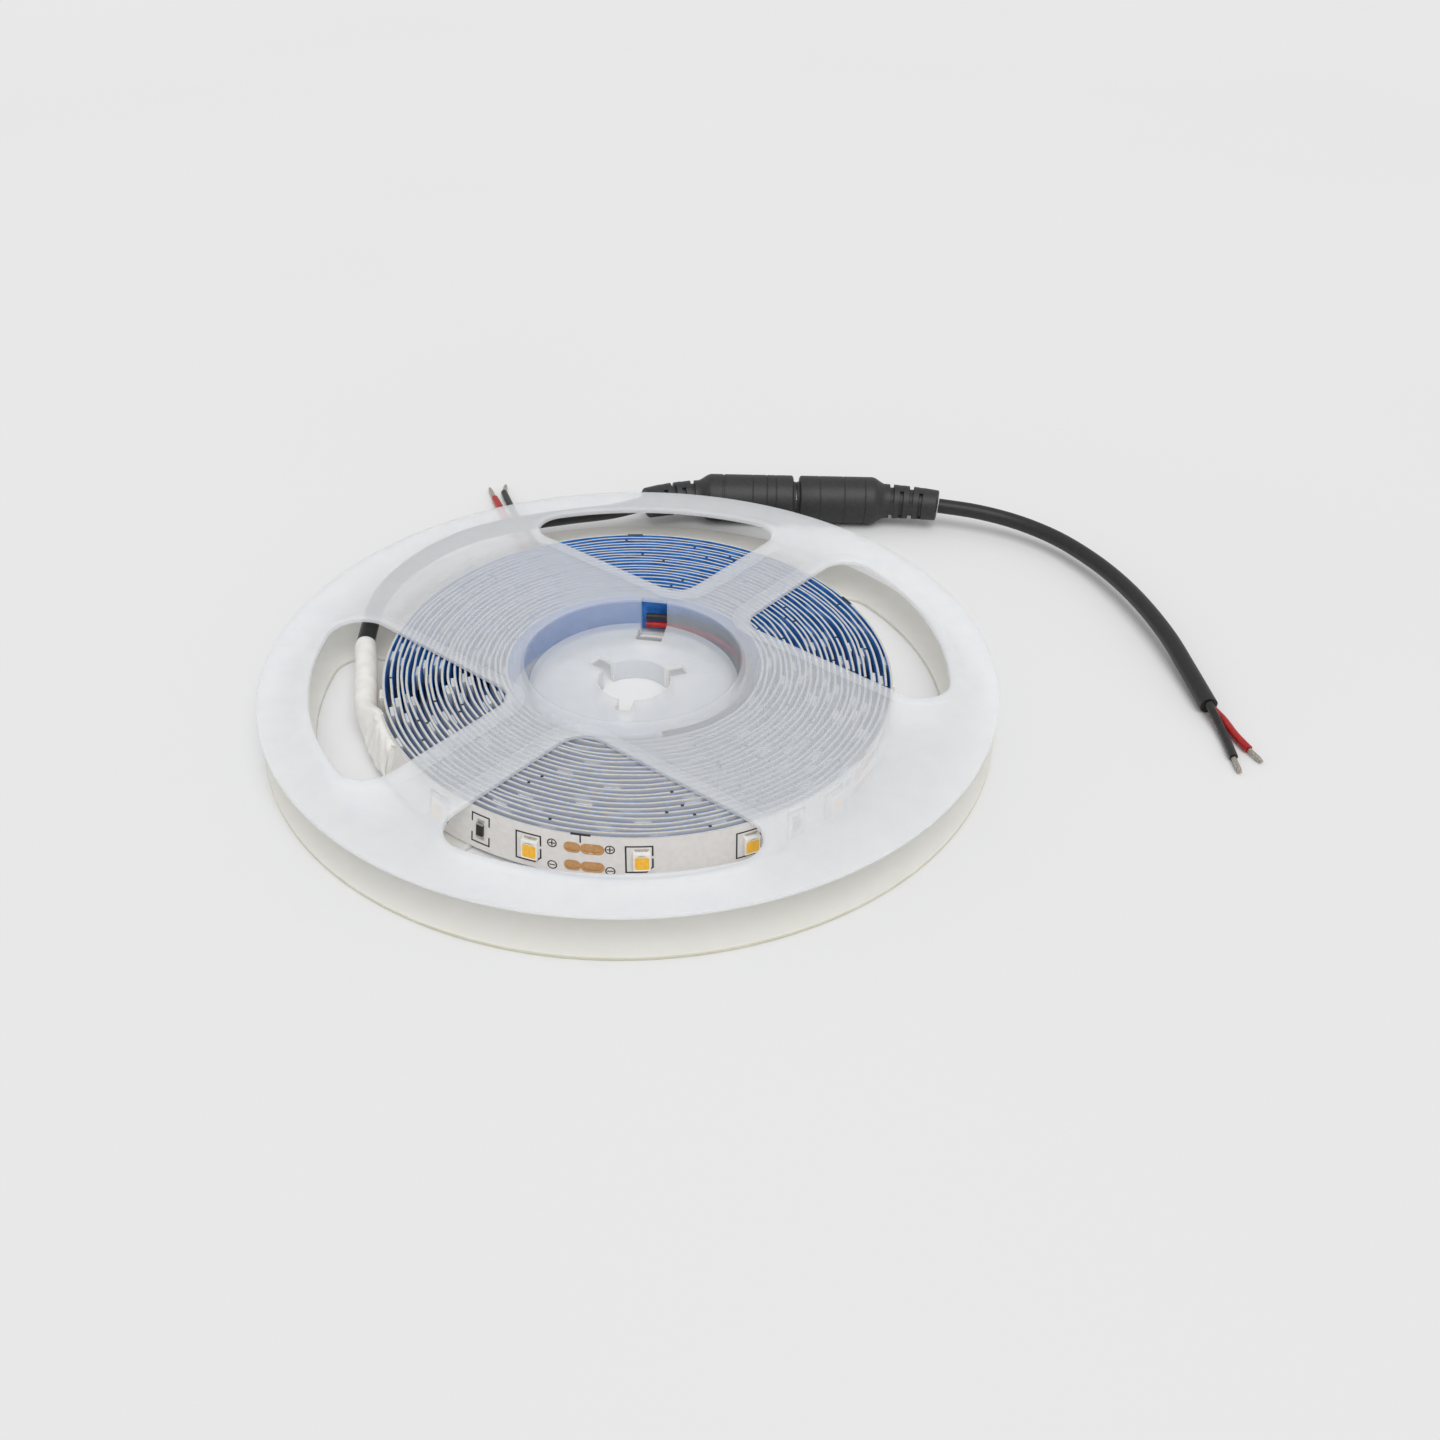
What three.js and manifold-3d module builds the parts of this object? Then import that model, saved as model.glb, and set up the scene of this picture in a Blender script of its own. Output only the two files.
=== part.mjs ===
// A reel of LED strip light lying flat: two open moulded halves, the wound strip with the lamps and
// resistors of its outer turn, the sleeved lead with its mated round connector, and the loose wire ends.
// Millimetres, +Z up. The origin is on the reel's axis, on the surface that the reel lies on.
import * as THREE from 'three';
import { mergeVertices } from 'three/addons/utils/BufferGeometryUtils.js';
import Module from 'manifold-3d';

const wasm = await Module();
wasm.setup();

// Reel halves
const REEL_R = 70;
const PLATE_T = 0.85;
const RIM_SIDES = 80;
const HUB_SIDES = 48;
const HUB_R = 20.7;
const HUB_WALL = 1.1;
const HALF_GAP = 0.15;
const SKIRT_WALL = 1;
const WEB_TOP = 4.7;
const WEB_T = 0.9;
const SPINDLE_R = 7;
const SPINDLE_WALL = 1;
const KEY_W = 3.1;
const KEY_R = 10.6;
const KEY_COUNT = 3;
const SLOT_W = 5.5;
const SLOT_FLOOR = 1.9;
const WEB_SLOT_R = 14;

// Windows between the spars of each half
const SPAR_TURN = 47.5;
const NARROW_SPAR = 20.6;
const WIDE_SPAR = 46.6;
const WINDOW_R = 59;
const APEX_ROUND = 5;
const CORNER_ROUND = 6;
const BORDER_W = 2.6;
const BORDER_H = 0.3;

// Wound strip
const STRIP_W = 8;
const STRIP_T = 0.5;
const STRIP_PLAY = 0.1;
const ROLL_R = 50.65;
const WIRE_SPACE = 2.5;
const TURN_PITCH = 1.185;
const END_ANGLE = 195.8;
const SLEEVED_END = 2.3;
const EGG = 0.8;
const OVAL = 1.13;
const OVAL_SKEW = 0.52;
const END_LEAN = 19.5;
const LEAN_TURN = 150;

// Lamps and resistors on the outer turn
const LAMP_PITCH = 18.6;
const LAMPS_PER_SECTION = 3;
const CHORDS_PER_LAMP = 3;
const LAMP_W = 2.9;
const LAMP_L = 3.6;
const LAMP_H = 0.85;
const LENS_W = 2.3;
const LENS_L = 2.5;
const LENS_DEEP = 0.12;
const LENS_DROP = 0.35;
const RESISTOR_W = 1.3;
const RESISTOR_L = 2.6;
const RESISTOR_H = 0.5;
const SEAT_GAP = 0.05;

// Sleeve, cables and wires
const SLEEVE_R = 2.45;
const SLEEVE_FLAT = 1.1;
const SLEEVE_TALL = 3.8;
const SLEEVE_TURN = 30.2;
const SLEEVE_RISE = 4;
const CABLE_R = 1.75;
const CABLE_SIDES = 8;
const WIRE_R = 0.78;
const TIP_R = 0.5;
const HUB_WIRE_R = 0.72;
const HUB_RED_Z = 3;
const HUB_BLACK_Z = 4.9;
const HUB_WIRE_RISE = 2.8;
const HUB_WIRE_TURN = 160;
const BUTT_GAP = 0.3;

// Mated connector
const PAIR_AT = [40, 73.4];
const PAIR_TURN = -4;
const PAIR_SLIT = 1.5;
const SHELL_R = 5.6;
const SHELL_SIDES = 16;
const JACK_SHELL_L = 20;
const PLUG_SHELL_L = 17.8;
const SHOULDER_L = 2.6;
const RELIEF_L = 13;
const RELIEF_R = 4.1;
const RELIEF_TIP_R = 3.6;
const RELIEF_RINGS = 4;
const RING_GROOVE = 0.55;
const RING_GROOVE_W = 0.9;
const SHELL_EDGE = 0.5;
const JACK_BEND = 27;
const PLUG_BEND = 14;
const BARREL_R = 2.75;
const BARREL_BORE_R = 1.35;
const BARREL_L = 9.5;
const BARREL_PLAY = 0.3;
const PIN_R = 1;
const PIN_L = 8;

// Derived levels
const STRIP_Z = PLATE_T;
const UPPER_Z = PLATE_T + STRIP_W + STRIP_PLAY;
const UPPER_TOP = UPPER_Z + PLATE_T;
const STRIP_MID = STRIP_Z + STRIP_W / 2;
const HUB_OUTER_R = HUB_R + HUB_WALL;
const SKIRT_R = HUB_R - HALF_GAP;
const INNER_TURN_R = HUB_OUTER_R + WIRE_SPACE;
const KEY_TURN = SPAR_TURN + 90;
const SLOT_TURN = KEY_TURN - 60;

const deg = THREE.MathUtils.degToRad;

function toSolid(geometry) {
  const bare = geometry.clone();
  bare.deleteAttribute('normal');
  bare.deleteAttribute('uv');
  const merged = mergeVertices(bare, 1e-4);
  return new wasm.Manifold(new wasm.Mesh({
    numProp: 3,
    vertProperties: Float32Array.from(merged.attributes.position.array),
    triVerts: Uint32Array.from(merged.index.array),
  }));
}

function toGeometry(solid) {
  const mesh = solid.getMesh();
  const geometry = new THREE.BufferGeometry();
  geometry.setAttribute('position', new THREE.BufferAttribute(Float32Array.from(mesh.vertProperties), 3));
  geometry.setIndex(Array.from(mesh.triVerts));
  geometry.computeVertexNormals();
  return geometry;
}

function circle(radius, sides) {
  const points = [];
  for (let i = 0; i < sides; i += 1) {
    const angle = (2 * Math.PI * i) / sides;
    points.push(new THREE.Vector2(radius * Math.cos(angle), radius * Math.sin(angle)));
  }
  return points;
}

function arc(cx, cy, radius, from, to, steps) {
  const points = [];
  for (let i = 0; i <= steps; i += 1) {
    const angle = from + ((to - from) * i) / steps;
    points.push(new THREE.Vector2(cx + radius * Math.cos(angle), cy + radius * Math.sin(angle)));
  }
  return points;
}

function wound(points, clockwise) {
  return THREE.ShapeUtils.isClockWise(points) === clockwise ? points : points.slice().reverse();
}

function slab(outline, holes, z, height) {
  const shape = new THREE.Shape(wound(outline, false));
  for (const hole of holes) {
    shape.holes.push(new THREE.Path(wound(hole, true)));
  }
  const geometry = new THREE.ExtrudeGeometry(shape, { depth: height, bevelEnabled: false });
  return toSolid(geometry.translate(0, 0, z));
}

function tube(outerR, innerR, z, height, sides) {
  return slab(circle(outerR, sides), [circle(innerR, sides)], z, height);
}

// A block that starts at a radius and runs outward along a direction in plan.
function spoke(fromR, toR, width, z, height, turn) {
  const block = new THREE.BoxGeometry(toR - fromR, width, height);
  block.translate((fromR + toR) / 2, 0, z + height / 2);
  block.rotateZ(deg(turn));
  return toSolid(block);
}

// One window's outline: two straight sides along the spars, a round apex at the hub,
// two round outer corners and an arc round the rim. A positive grow gives the border's outline.
function windowOutline(grow, alongSign, acrossSign) {
  const along = WIDE_SPAR / 2 - grow;
  const across = NARROW_SPAR / 2 - grow;
  const outer = WINDOW_R + grow;
  const apex = APEX_ROUND + grow;
  const corner = CORNER_ROUND + grow;
  const inset = outer - corner;
  const farAlong = Math.sqrt(inset ** 2 - (across + corner) ** 2);
  const farAcross = Math.sqrt(inset ** 2 - (along + corner) ** 2);
  const low = Math.atan2(across + corner, farAlong);
  const high = Math.atan2(farAcross, along + corner);
  const points = [
    ...arc(along + apex, across + apex, apex, Math.PI, 1.5 * Math.PI, 4),
    ...arc(farAlong, across + corner, corner, -0.5 * Math.PI, low, 4),
    ...arc(0, 0, outer, low, high, 8).slice(1, -1),
    ...arc(along + corner, farAcross, corner, high, Math.PI, 4),
  ];
  const turn = deg(SPAR_TURN);
  return points.map((p) => new THREE.Vector2(p.x * alongSign, p.y * acrossSign)
    .rotateAround(new THREE.Vector2(0, 0), turn));
}

const QUARTERS = [[1, 1], [-1, 1], [-1, -1], [1, -1]];

function windowHoles() {
  return QUARTERS.map(([a, b]) => windowOutline(0, a, b));
}

function upperHalf() {
  let half = slab(circle(REEL_R, RIM_SIDES), [circle(HUB_R, HUB_SIDES), ...windowHoles()], UPPER_Z, PLATE_T);
  for (const [a, b] of QUARTERS) {
    const border = slab(windowOutline(BORDER_W, a, b), [windowOutline(0, a, b)], UPPER_Z, PLATE_T + BORDER_H);
    half = half.add(border);
  }
  half = half.add(tube(HUB_OUTER_R, HUB_R, PLATE_T, UPPER_TOP - PLATE_T, HUB_SIDES));
  const slotHeight = UPPER_TOP + 1 - SLOT_FLOOR;
  return half.subtract(spoke(HUB_R - 2, HUB_OUTER_R + 0.05, SLOT_W, SLOT_FLOOR, slotHeight, SLOT_TURN));
}

function lowerHalf() {
  const innerR = SKIRT_R - SKIRT_WALL;
  let half = slab(circle(REEL_R, RIM_SIDES), [circle(innerR, HUB_SIDES), ...windowHoles()], 0, PLATE_T);
  half = half.add(tube(SKIRT_R, innerR, 0, WEB_TOP, HUB_SIDES));
  half = half.add(tube(SKIRT_R - SKIRT_WALL / 2, SPINDLE_R, WEB_TOP - WEB_T, WEB_T, HUB_SIDES));
  half = half.add(tube(SPINDLE_R + SPINDLE_WALL, SPINDLE_R, 0, WEB_TOP, HUB_SIDES));
  for (let i = 0; i < KEY_COUNT; i += 1) {
    const turn = KEY_TURN + (360 * i) / KEY_COUNT;
    half = half.subtract(spoke(SPINDLE_R / 2, KEY_R, KEY_W, -1, WEB_TOP + 2, turn));
  }
  const slotZ = Math.max(SLOT_FLOOR, PLATE_T);
  return half.subtract(spoke(WEB_SLOT_R, HUB_R + 1, SLOT_W, slotZ, WEB_TOP + 1 - slotZ, SLOT_TURN));
}

// Radius of the strip's outer face after it has turned some degrees from its outer end.
function rollRadius(turned) {
  const base = ROLL_R - (TURN_PITCH * turned) / 360;
  const share = (base - INNER_TURN_R) / (ROLL_R - INNER_TURN_R);
  const angle = deg(END_ANGLE + turned);
  const wobble = EGG * Math.cos(angle) - OVAL * Math.cos(2 * angle) - OVAL_SKEW * Math.sin(2 * angle);
  return base + share * wobble;
}

// The outer turn leans, its lower edge outward, less and less from its end on.
function leanAt(turned) {
  return deg(END_LEAN) * Math.max(0, 1 - turned / LEAN_TURN) ** 2;
}

const CHORD = LAMP_PITCH / CHORDS_PER_LAMP;
const TURNED_TOTAL = ((ROLL_R - INNER_TURN_R) / TURN_PITCH) * 360;

// Upper edge of the strip's outer face, from the outer end inward, with the lean at each corner.
function rollLine() {
  const line = [];
  let turned = 0;
  while (turned < TURNED_TOTAL) {
    const radius = rollRadius(turned);
    const angle = deg(END_ANGLE + turned);
    const top = new THREE.Vector2(radius * Math.cos(angle), radius * Math.sin(angle));
    line.push({ top, lean: leanAt(turned) });
    turned += THREE.MathUtils.radToDeg(CHORD / radius);
  }
  return line;
}

const LINE = rollLine();
const STRIP_START = between(LINE[0], LINE[1], SLEEVED_END / CHORD);

function between(a, b, share) {
  return { top: a.top.clone().lerp(b.top, share), lean: THREE.MathUtils.lerp(a.lean, b.lean, share) };
}

// A point of the strip: so far down its face from the upper edge, and so far behind the face.
function stripPoint(corner, drop, depth) {
  const c = Math.cos(corner.lean);
  const s = Math.sin(corner.lean);
  const flat = corner.top.clone().setLength(corner.top.length() + drop * s - depth * c);
  const z = STRIP_Z + STRIP_W - drop * c - depth * s;
  return new THREE.Vector3(flat.x, flat.y, Math.max(z, STRIP_Z));
}

// Closed ribbon behind its outer line, standing on edge.
function ribbon(line) {
  const position = [];
  for (const corner of line) {
    position.push(...stripPoint(corner, STRIP_W, 0), ...stripPoint(corner, 0, 0));
    position.push(...stripPoint(corner, 0, STRIP_T), ...stripPoint(corner, STRIP_W, STRIP_T));
  }
  const index = [];
  for (let i = 0; i + 1 < line.length; i += 1) {
    for (let k = 0; k < 4; k += 1) {
      const a = 4 * i + k;
      const b = 4 * i + ((k + 1) % 4);
      index.push(a, a + 4, b, b, a + 4, b + 4);
    }
  }
  const last = 4 * (line.length - 1);
  index.push(0, 1, 2, 0, 2, 3, last, last + 2, last + 1, last, last + 3, last + 2);
  const geometry = new THREE.BufferGeometry();
  geometry.setAttribute('position', new THREE.Float32BufferAttribute(position, 3));
  geometry.setIndex(index);
  geometry.computeVertexNormals();
  return geometry;
}

// Sets a piece on the middle of the outer face: a whole number is a corner, a half is a chord's middle.
function seatOnStrip(piece, chordCount) {
  const i = Math.floor(chordCount);
  const share = chordCount - i;
  const corner = between(LINE[i], LINE[i + 1], share);
  const before = share > 0 ? LINE[i] : LINE[i - 1];
  const heading = LINE[i + 1].top.clone().sub(before.top);
  piece.position.copy(stripPoint(corner, STRIP_W / 2, -SEAT_GAP));
  piece.rotation.set(corner.lean, 0, Math.atan2(heading.y, heading.x) + Math.PI, 'ZXY');
}

// A lamp body: local X runs along the strip, local Y points outward, local Z is up the strip.
function lampGeometry() {
  const body = new THREE.BoxGeometry(LAMP_W, LAMP_H, LAMP_L).translate(0, LAMP_H / 2, 0);
  const lens = new THREE.BoxGeometry(LENS_W, LENS_DEEP * 2, LENS_L).translate(0, LAMP_H, -LENS_DROP);
  return toGeometry(toSolid(body).subtract(toSolid(lens)));
}

function resistorGeometry() {
  return new THREE.BoxGeometry(RESISTOR_W, RESISTOR_H, RESISTOR_L).translate(0, RESISTOR_H / 2, 0);
}

// Closed loft through rings of points, with flat ends.
function loft(rings) {
  const sides = rings[0].length;
  const position = [];
  for (const ring of rings) {
    for (const p of ring) {
      position.push(p.x, p.y, p.z);
    }
  }
  const index = [];
  for (let i = 0; i + 1 < rings.length; i += 1) {
    for (let k = 0; k < sides; k += 1) {
      const a = sides * i + k;
      const b = sides * i + ((k + 1) % sides);
      index.push(a, b, a + sides, b, b + sides, a + sides);
    }
  }
  const last = sides * (rings.length - 1);
  for (let k = 1; k + 1 < sides; k += 1) {
    index.push(0, k + 1, k, last, last + k, last + k + 1);
  }
  const geometry = new THREE.BufferGeometry();
  geometry.setAttribute('position', new THREE.Float32BufferAttribute(position, 3));
  geometry.setIndex(index);
  geometry.computeVertexNormals();
  return geometry;
}

// Ring across a level path: half-width to the side, half-height up, and how square its corners are.
function crossRing(at, heading, wide, tall, square, sides) {
  const side = new THREE.Vector3(-heading.y, heading.x, 0).normalize();
  const ring = [];
  for (let k = 0; k < sides; k += 1) {
    const angle = (2 * Math.PI * (k + 0.5)) / sides;
    const c = Math.cos(angle);
    const s = Math.sin(angle);
    const x = wide * Math.sign(c) * Math.abs(c) ** (2 / square);
    const y = tall * Math.sign(s) * Math.abs(s) ** (2 / square);
    ring.push(at.clone().addScaledVector(side, x).add(new THREE.Vector3(0, 0, y)));
  }
  return ring;
}

function polar(radius, turn, z) {
  return new THREE.Vector3(radius * Math.cos(deg(turn)), radius * Math.sin(deg(turn)), z);
}

// The shrink sleeve: round on the cable, pressed flat where it closes over the strip's end.
function sleeveGeometry() {
  const stripEnd = stripPoint(STRIP_START, STRIP_W / 2, STRIP_T / 2);
  const outward = Math.hypot(stripEnd.x, stripEnd.y);
  const startTurn = THREE.MathUtils.radToDeg(Math.atan2(stripEnd.y, stripEnd.x) - BUTT_GAP / outward);
  const points = [polar(outward, startTurn, STRIP_MID)];
  for (const share of [0.13, 0.42, 0.74, 1]) {
    const past = SLEEVE_TURN * share;
    const room = LAMP_H + SEAT_GAP + SLEEVE_RISE * share ** 3;
    points.push(polar(rollRadius(360 - past) + room + SLEEVE_R, END_ANGLE - past, STRIP_MID));
  }
  const route = new THREE.CatmullRomCurve3(points);
  const rings = [];
  const steps = 10;
  for (let i = 0; i <= steps; i += 1) {
    const share = i / steps;
    const round = THREE.MathUtils.smoothstep(share, 0.1, 0.42);
    const wide = THREE.MathUtils.lerp(SLEEVE_FLAT, SLEEVE_R, round) * (share === 1 ? 0.93 : 1);
    const tall = THREE.MathUtils.lerp(SLEEVE_TALL, SLEEVE_R, round) * (share === 1 ? 0.93 : 1);
    const square = THREE.MathUtils.lerp(4, 2, round);
    const centre = route.getPointAt(share);
    const heading = route.getTangentAt(share);
    const lean = STRIP_START.lean * (1 - round);
    rings.push(crossRing(centre, heading, wide, tall, square, 12)
      .map((p) => p.sub(centre).applyAxisAngle(heading, lean).add(centre)));
  }
  return { geometry: loft(rings), end: route.getPointAt(1), heading: route.getTangentAt(1) };
}

// A round cord along chosen points.
function cord(points, radius, sides, steps) {
  const section = new THREE.Shape(circle(radius, sides));
  const path = new THREE.CatmullRomCurve3(points, false, 'centripetal');
  return new THREE.ExtrudeGeometry(section, { steps, bevelEnabled: false, extrudePath: path });
}

function at(x, y, z) {
  return new THREE.Vector3(x, y, z);
}

// A round moulding along a level line that runs straight and then bends by an angle.
function moulding(profile, straight, bend, bendLength, origin, turn) {
  const rings = profile.map(([s, radius]) => {
    const past = Math.max(0, s - straight);
    const angle = (deg(bend) * past) / bendLength;
    const rate = deg(bend) / bendLength;
    const ahead = past > 0 && rate !== 0 ? Math.sin(angle) / rate : past;
    const aside = past > 0 && rate !== 0 ? (1 - Math.cos(angle)) / rate : 0;
    const place = at(Math.min(s, straight) + ahead, aside, 0);
    const heading = at(Math.cos(angle), Math.sin(angle), 0);
    const spin = new THREE.Matrix4().makeRotationZ(deg(turn));
    place.applyMatrix4(spin).add(origin);
    heading.applyMatrix4(spin);
    return { ring: crossRing(place, heading, radius, radius, 2, SHELL_SIDES), place, heading };
  });
  const end = rings[rings.length - 1];
  return { geometry: loft(rings.map((r) => r.ring)), end: end.place, heading: end.heading };
}

// Shell, shoulder and ringed strain relief, as radii along the moulding.
function shellProfile(shellLength) {
  const profile = [
    [0, SHELL_R - SHELL_EDGE],
    [SHELL_EDGE, SHELL_R],
    [shellLength, SHELL_R],
    [shellLength + SHOULDER_L * 0.8, RELIEF_R + 0.3],
    [shellLength + SHOULDER_L, RELIEF_R],
  ];
  const start = shellLength + SHOULDER_L;
  const pitch = RELIEF_L / (RELIEF_RINGS + 1);
  const radiusAt = (s) => THREE.MathUtils.lerp(RELIEF_R, RELIEF_TIP_R, (s - start) / RELIEF_L);
  for (let i = 1; i <= RELIEF_RINGS; i += 1) {
    const from = start + pitch * i - RING_GROOVE_W / 2;
    const to = from + RING_GROOVE_W;
    profile.push([from, radiusAt(from)], [from + 0.1, radiusAt(from) - RING_GROOVE]);
    profile.push([to - 0.1, radiusAt(to) - RING_GROOVE], [to, radiusAt(to)]);
  }
  profile.push([start + RELIEF_L, RELIEF_TIP_R]);
  return profile;
}

// A rod or bore along the connector's axis, from one distance to another.
function axisRod(radius, from, to, origin, turn, sides) {
  const rod = new THREE.CylinderGeometry(radius, radius, to - from, sides);
  rod.rotateZ(-Math.PI / 2).translate((from + to) / 2, 0, 0);
  rod.rotateZ(deg(turn)).translate(origin.x, origin.y, origin.z);
  return toSolid(rod);
}

function material(color, roughness, metalness, opacity = 1) {
  return new THREE.MeshStandardMaterial({ color, roughness, metalness, opacity, transparent: opacity < 1 });
}

const LOOK = {
  reel: () => material(0xe6e8ea, 0.45, 0, 0.6),
  strip: () => material(0xaebfe0, 0.5, 0),
  lamp: () => material(0xf1efe6, 0.4, 0),
  resistor: () => material(0x17171a, 0.5, 0),
  sleeve: () => material(0xe9e6df, 0.55, 0),
  cable: () => material(0x1b1b1c, 0.5, 0),
  moulding: () => material(0x202123, 0.55, 0),
  metal: () => material(0xb9bbbd, 0.3, 1),
  red: () => material(0xb01012, 0.45, 0),
  black: () => material(0x161617, 0.45, 0),
};

const object = new THREE.Group();

function addPiece(name, geometry, look) {
  const mesh = new THREE.Mesh(geometry, LOOK[look]());
  mesh.name = name;
  object.add(mesh);
  return mesh;
}

// Reel halves and the wound strip
addPiece('lower_half', toGeometry(lowerHalf()), 'reel');
addPiece('upper_half', toGeometry(upperHalf()), 'reel');
addPiece('strip_roll', ribbon([STRIP_START, ...LINE.slice(1)]), 'strip');

// Lamps in the middle of every third chord of the outer turn, one resistor to a section
const chordsPerSection = LAMPS_PER_SECTION * CHORDS_PER_LAMP;
let turnedSoFar = 0;
let outerChords = 0;
while (turnedSoFar < 352) {
  turnedSoFar += THREE.MathUtils.radToDeg(CHORD / rollRadius(turnedSoFar));
  outerChords += 1;
}
let lampNumber = 0;
let resistorNumber = 0;
for (let c = 1; c < outerChords + 1; c += 1) {
  if (c % CHORDS_PER_LAMP === 1) {
    lampNumber += 1;
    const lamp = addPiece(`lamp_${String(lampNumber).padStart(2, '0')}`, lampGeometry(), 'lamp');
    seatOnStrip(lamp, c + 0.5);
  }
  if (c % chordsPerSection === Math.round(chordsPerSection * (2 / 3))) {
    resistorNumber += 1;
    const resistor = addPiece(`resistor_${resistorNumber}`, resistorGeometry(), 'resistor');
    seatOnStrip(resistor, c);
  }
}

// Connector pair lying behind the reel on its round shells
const pairTurn = PAIR_TURN;
const pairCentre = at(PAIR_AT[0], PAIR_AT[1], SHELL_R);
const pairAxis = at(Math.cos(deg(pairTurn)), Math.sin(deg(pairTurn)), 0);
const jackFace = pairCentre.clone().addScaledVector(pairAxis, -PAIR_SLIT / 2);
const plugFace = pairCentre.clone().addScaledVector(pairAxis, PAIR_SLIT / 2);
const jack = moulding(shellProfile(JACK_SHELL_L), JACK_SHELL_L, JACK_BEND, SHOULDER_L + RELIEF_L,
  jackFace, pairTurn + 180);
const plug = moulding(shellProfile(PLUG_SHELL_L), PLUG_SHELL_L, -PLUG_BEND, SHOULDER_L + RELIEF_L,
  plugFace, pairTurn);
const boreR = BARREL_R + BARREL_PLAY;
const boreL = BARREL_L - PAIR_SLIT + BARREL_PLAY;
const jackBore = axisRod(boreR, -1, boreL, jackFace, pairTurn + 180, SHELL_SIDES);
addPiece('jack_shell', toGeometry(toSolid(jack.geometry).subtract(jackBore)), 'moulding');
addPiece('plug_shell', plug.geometry, 'moulding');
const pinFrom = boreL - BUTT_GAP;
addPiece('jack_pin', toGeometry(axisRod(PIN_R, pinFrom - PIN_L, pinFrom, jackFace, pairTurn + 180, 12)), 'metal');
const barrel = axisRod(BARREL_R, BUTT_GAP, BARREL_L, plugFace, pairTurn + 180, 16);
const barrelBore = axisRod(BARREL_BORE_R, BUTT_GAP + 0.6, BARREL_L + 1, plugFace, pairTurn + 180, 16);
addPiece('plug_barrel', toGeometry(barrel.subtract(barrelBore)), 'metal');

// Sleeve over the strip's end, and the lead from it to the jack
const sleeve = sleeveGeometry();
addPiece('sleeve', sleeve.geometry, 'sleeve');
const leadStart = sleeve.end.clone().addScaledVector(sleeve.heading, 2 * BUTT_GAP);
const leadEnd = jack.end.clone().addScaledVector(jack.heading, BUTT_GAP);
addPiece('lead_cable', cord([
  leadStart,
  at(-53.6, 18.8, 5.6),
  at(-53, 27.8, 6.4),
  at(-50, 36.8, 6.9),
  at(-44.2, 46.4, 7.05),
  at(-36.4, 54.3, 7.05),
  at(-25.7, 59.7, 7.05),
  at(-13.9, 64, 6.6),
  at(-4.1, 67.7, 5.9),
  leadEnd,
], CABLE_R, CABLE_SIDES, 18), 'cable');

// Pigtail from the plug, with its two stripped wires
const pigtailStart = plug.end.clone().addScaledVector(plug.heading, BUTT_GAP);
const jacketEnd = at(112.8, -9.2, CABLE_R + 0.1);
addPiece('pigtail_cable', cord([
  pigtailStart,
  at(82.7, 66.2, 5.4),
  at(91.7, 61.9, 4.7),
  at(99.4, 54.9, 4.1),
  at(105.1, 44.7, 3.9),
  at(108.4, 34.9, 3.9),
  at(110.6, 24.3, 3.8),
  at(112, 12.6, 3.4),
  at(112.5, 2.4, 2.6),
  jacketEnd,
], CABLE_R, CABLE_SIDES, 22), 'cable');
addPiece('black_wire', cord([
  at(jacketEnd.x - 0.25, jacketEnd.y - BUTT_GAP, jacketEnd.z + 0.6),
  at(112.9, -14.8, 1.4),
  at(112.7, -19.6, 1),
  at(112.2, -24.4, 0.88),
], WIRE_R, CABLE_SIDES, 8), 'black');
addPiece('black_tip', cord([at(112.15, -24.7, 0.75), at(111.9, -28.6, 0.6)], TIP_R, CABLE_SIDES, 1), 'metal');
addPiece('red_wire', cord([
  at(jacketEnd.x + 0.8, jacketEnd.y - BUTT_GAP, jacketEnd.z - 0.65),
  at(114.4, -12.8, 1.15),
  at(115, -17.9, 1),
  at(116, -22.1, 0.88),
], WIRE_R, CABLE_SIDES, 8), 'red');
addPiece('red_tip', cord([at(116.08, -22.4, 0.8), at(117.2, -25.7, 0.6)], TIP_R, CABLE_SIDES, 1), 'metal');

// Second pair of wires, out between the halves at the back
const tailZ = PLATE_T + WIRE_R + 0.05;
addPiece('black_tail', cord([
  at(-17.5, 49.6, tailZ),
  at(-22, 60, tailZ),
  at(-25.6, 69.5, tailZ),
  at(-28.6, 78.8, 1.1),
  at(-31.2, 88, WIRE_R + 0.1),
], WIRE_R, CABLE_SIDES, 8), 'black');
addPiece('black_tail_tip', cord([at(-31.28, 88.3, 0.75), at(-31.1, 92.5, 0.6)], TIP_R, CABLE_SIDES, 1), 'metal');
addPiece('red_tail', cord([
  at(-20.4, 49, tailZ),
  at(-24.8, 59.4, tailZ),
  at(-28.3, 69.2, tailZ),
  at(-31.2, 78.4, 1.05),
  at(-33.3, 85, WIRE_R + 0.1),
], WIRE_R, CABLE_SIDES, 8), 'red');
addPiece('red_tail_tip', cord([at(-33.4, 85.3, 0.75), at(-35, 90.9, 0.6)], TIP_R, CABLE_SIDES, 1), 'metal');

// The inner end's two wires, laid round the hub from its slot
function hubWire(lowZ) {
  const radius = HUB_OUTER_R + WIRE_SPACE / 2 - STRIP_T / 2;
  const points = [];
  const steps = 16;
  const from = SLOT_TURN + 5;
  for (let i = 0; i <= steps; i += 1) {
    points.push(polar(radius, from - (HUB_WIRE_TURN * i) / steps, lowZ + (HUB_WIRE_RISE * i) / steps));
  }
  return cord(points, HUB_WIRE_R, CABLE_SIDES, 16);
}
addPiece('hub_red_wire', hubWire(HUB_RED_Z), 'red');
addPiece('hub_black_wire', hubWire(HUB_BLACK_Z), 'black');

export default object;
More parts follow.
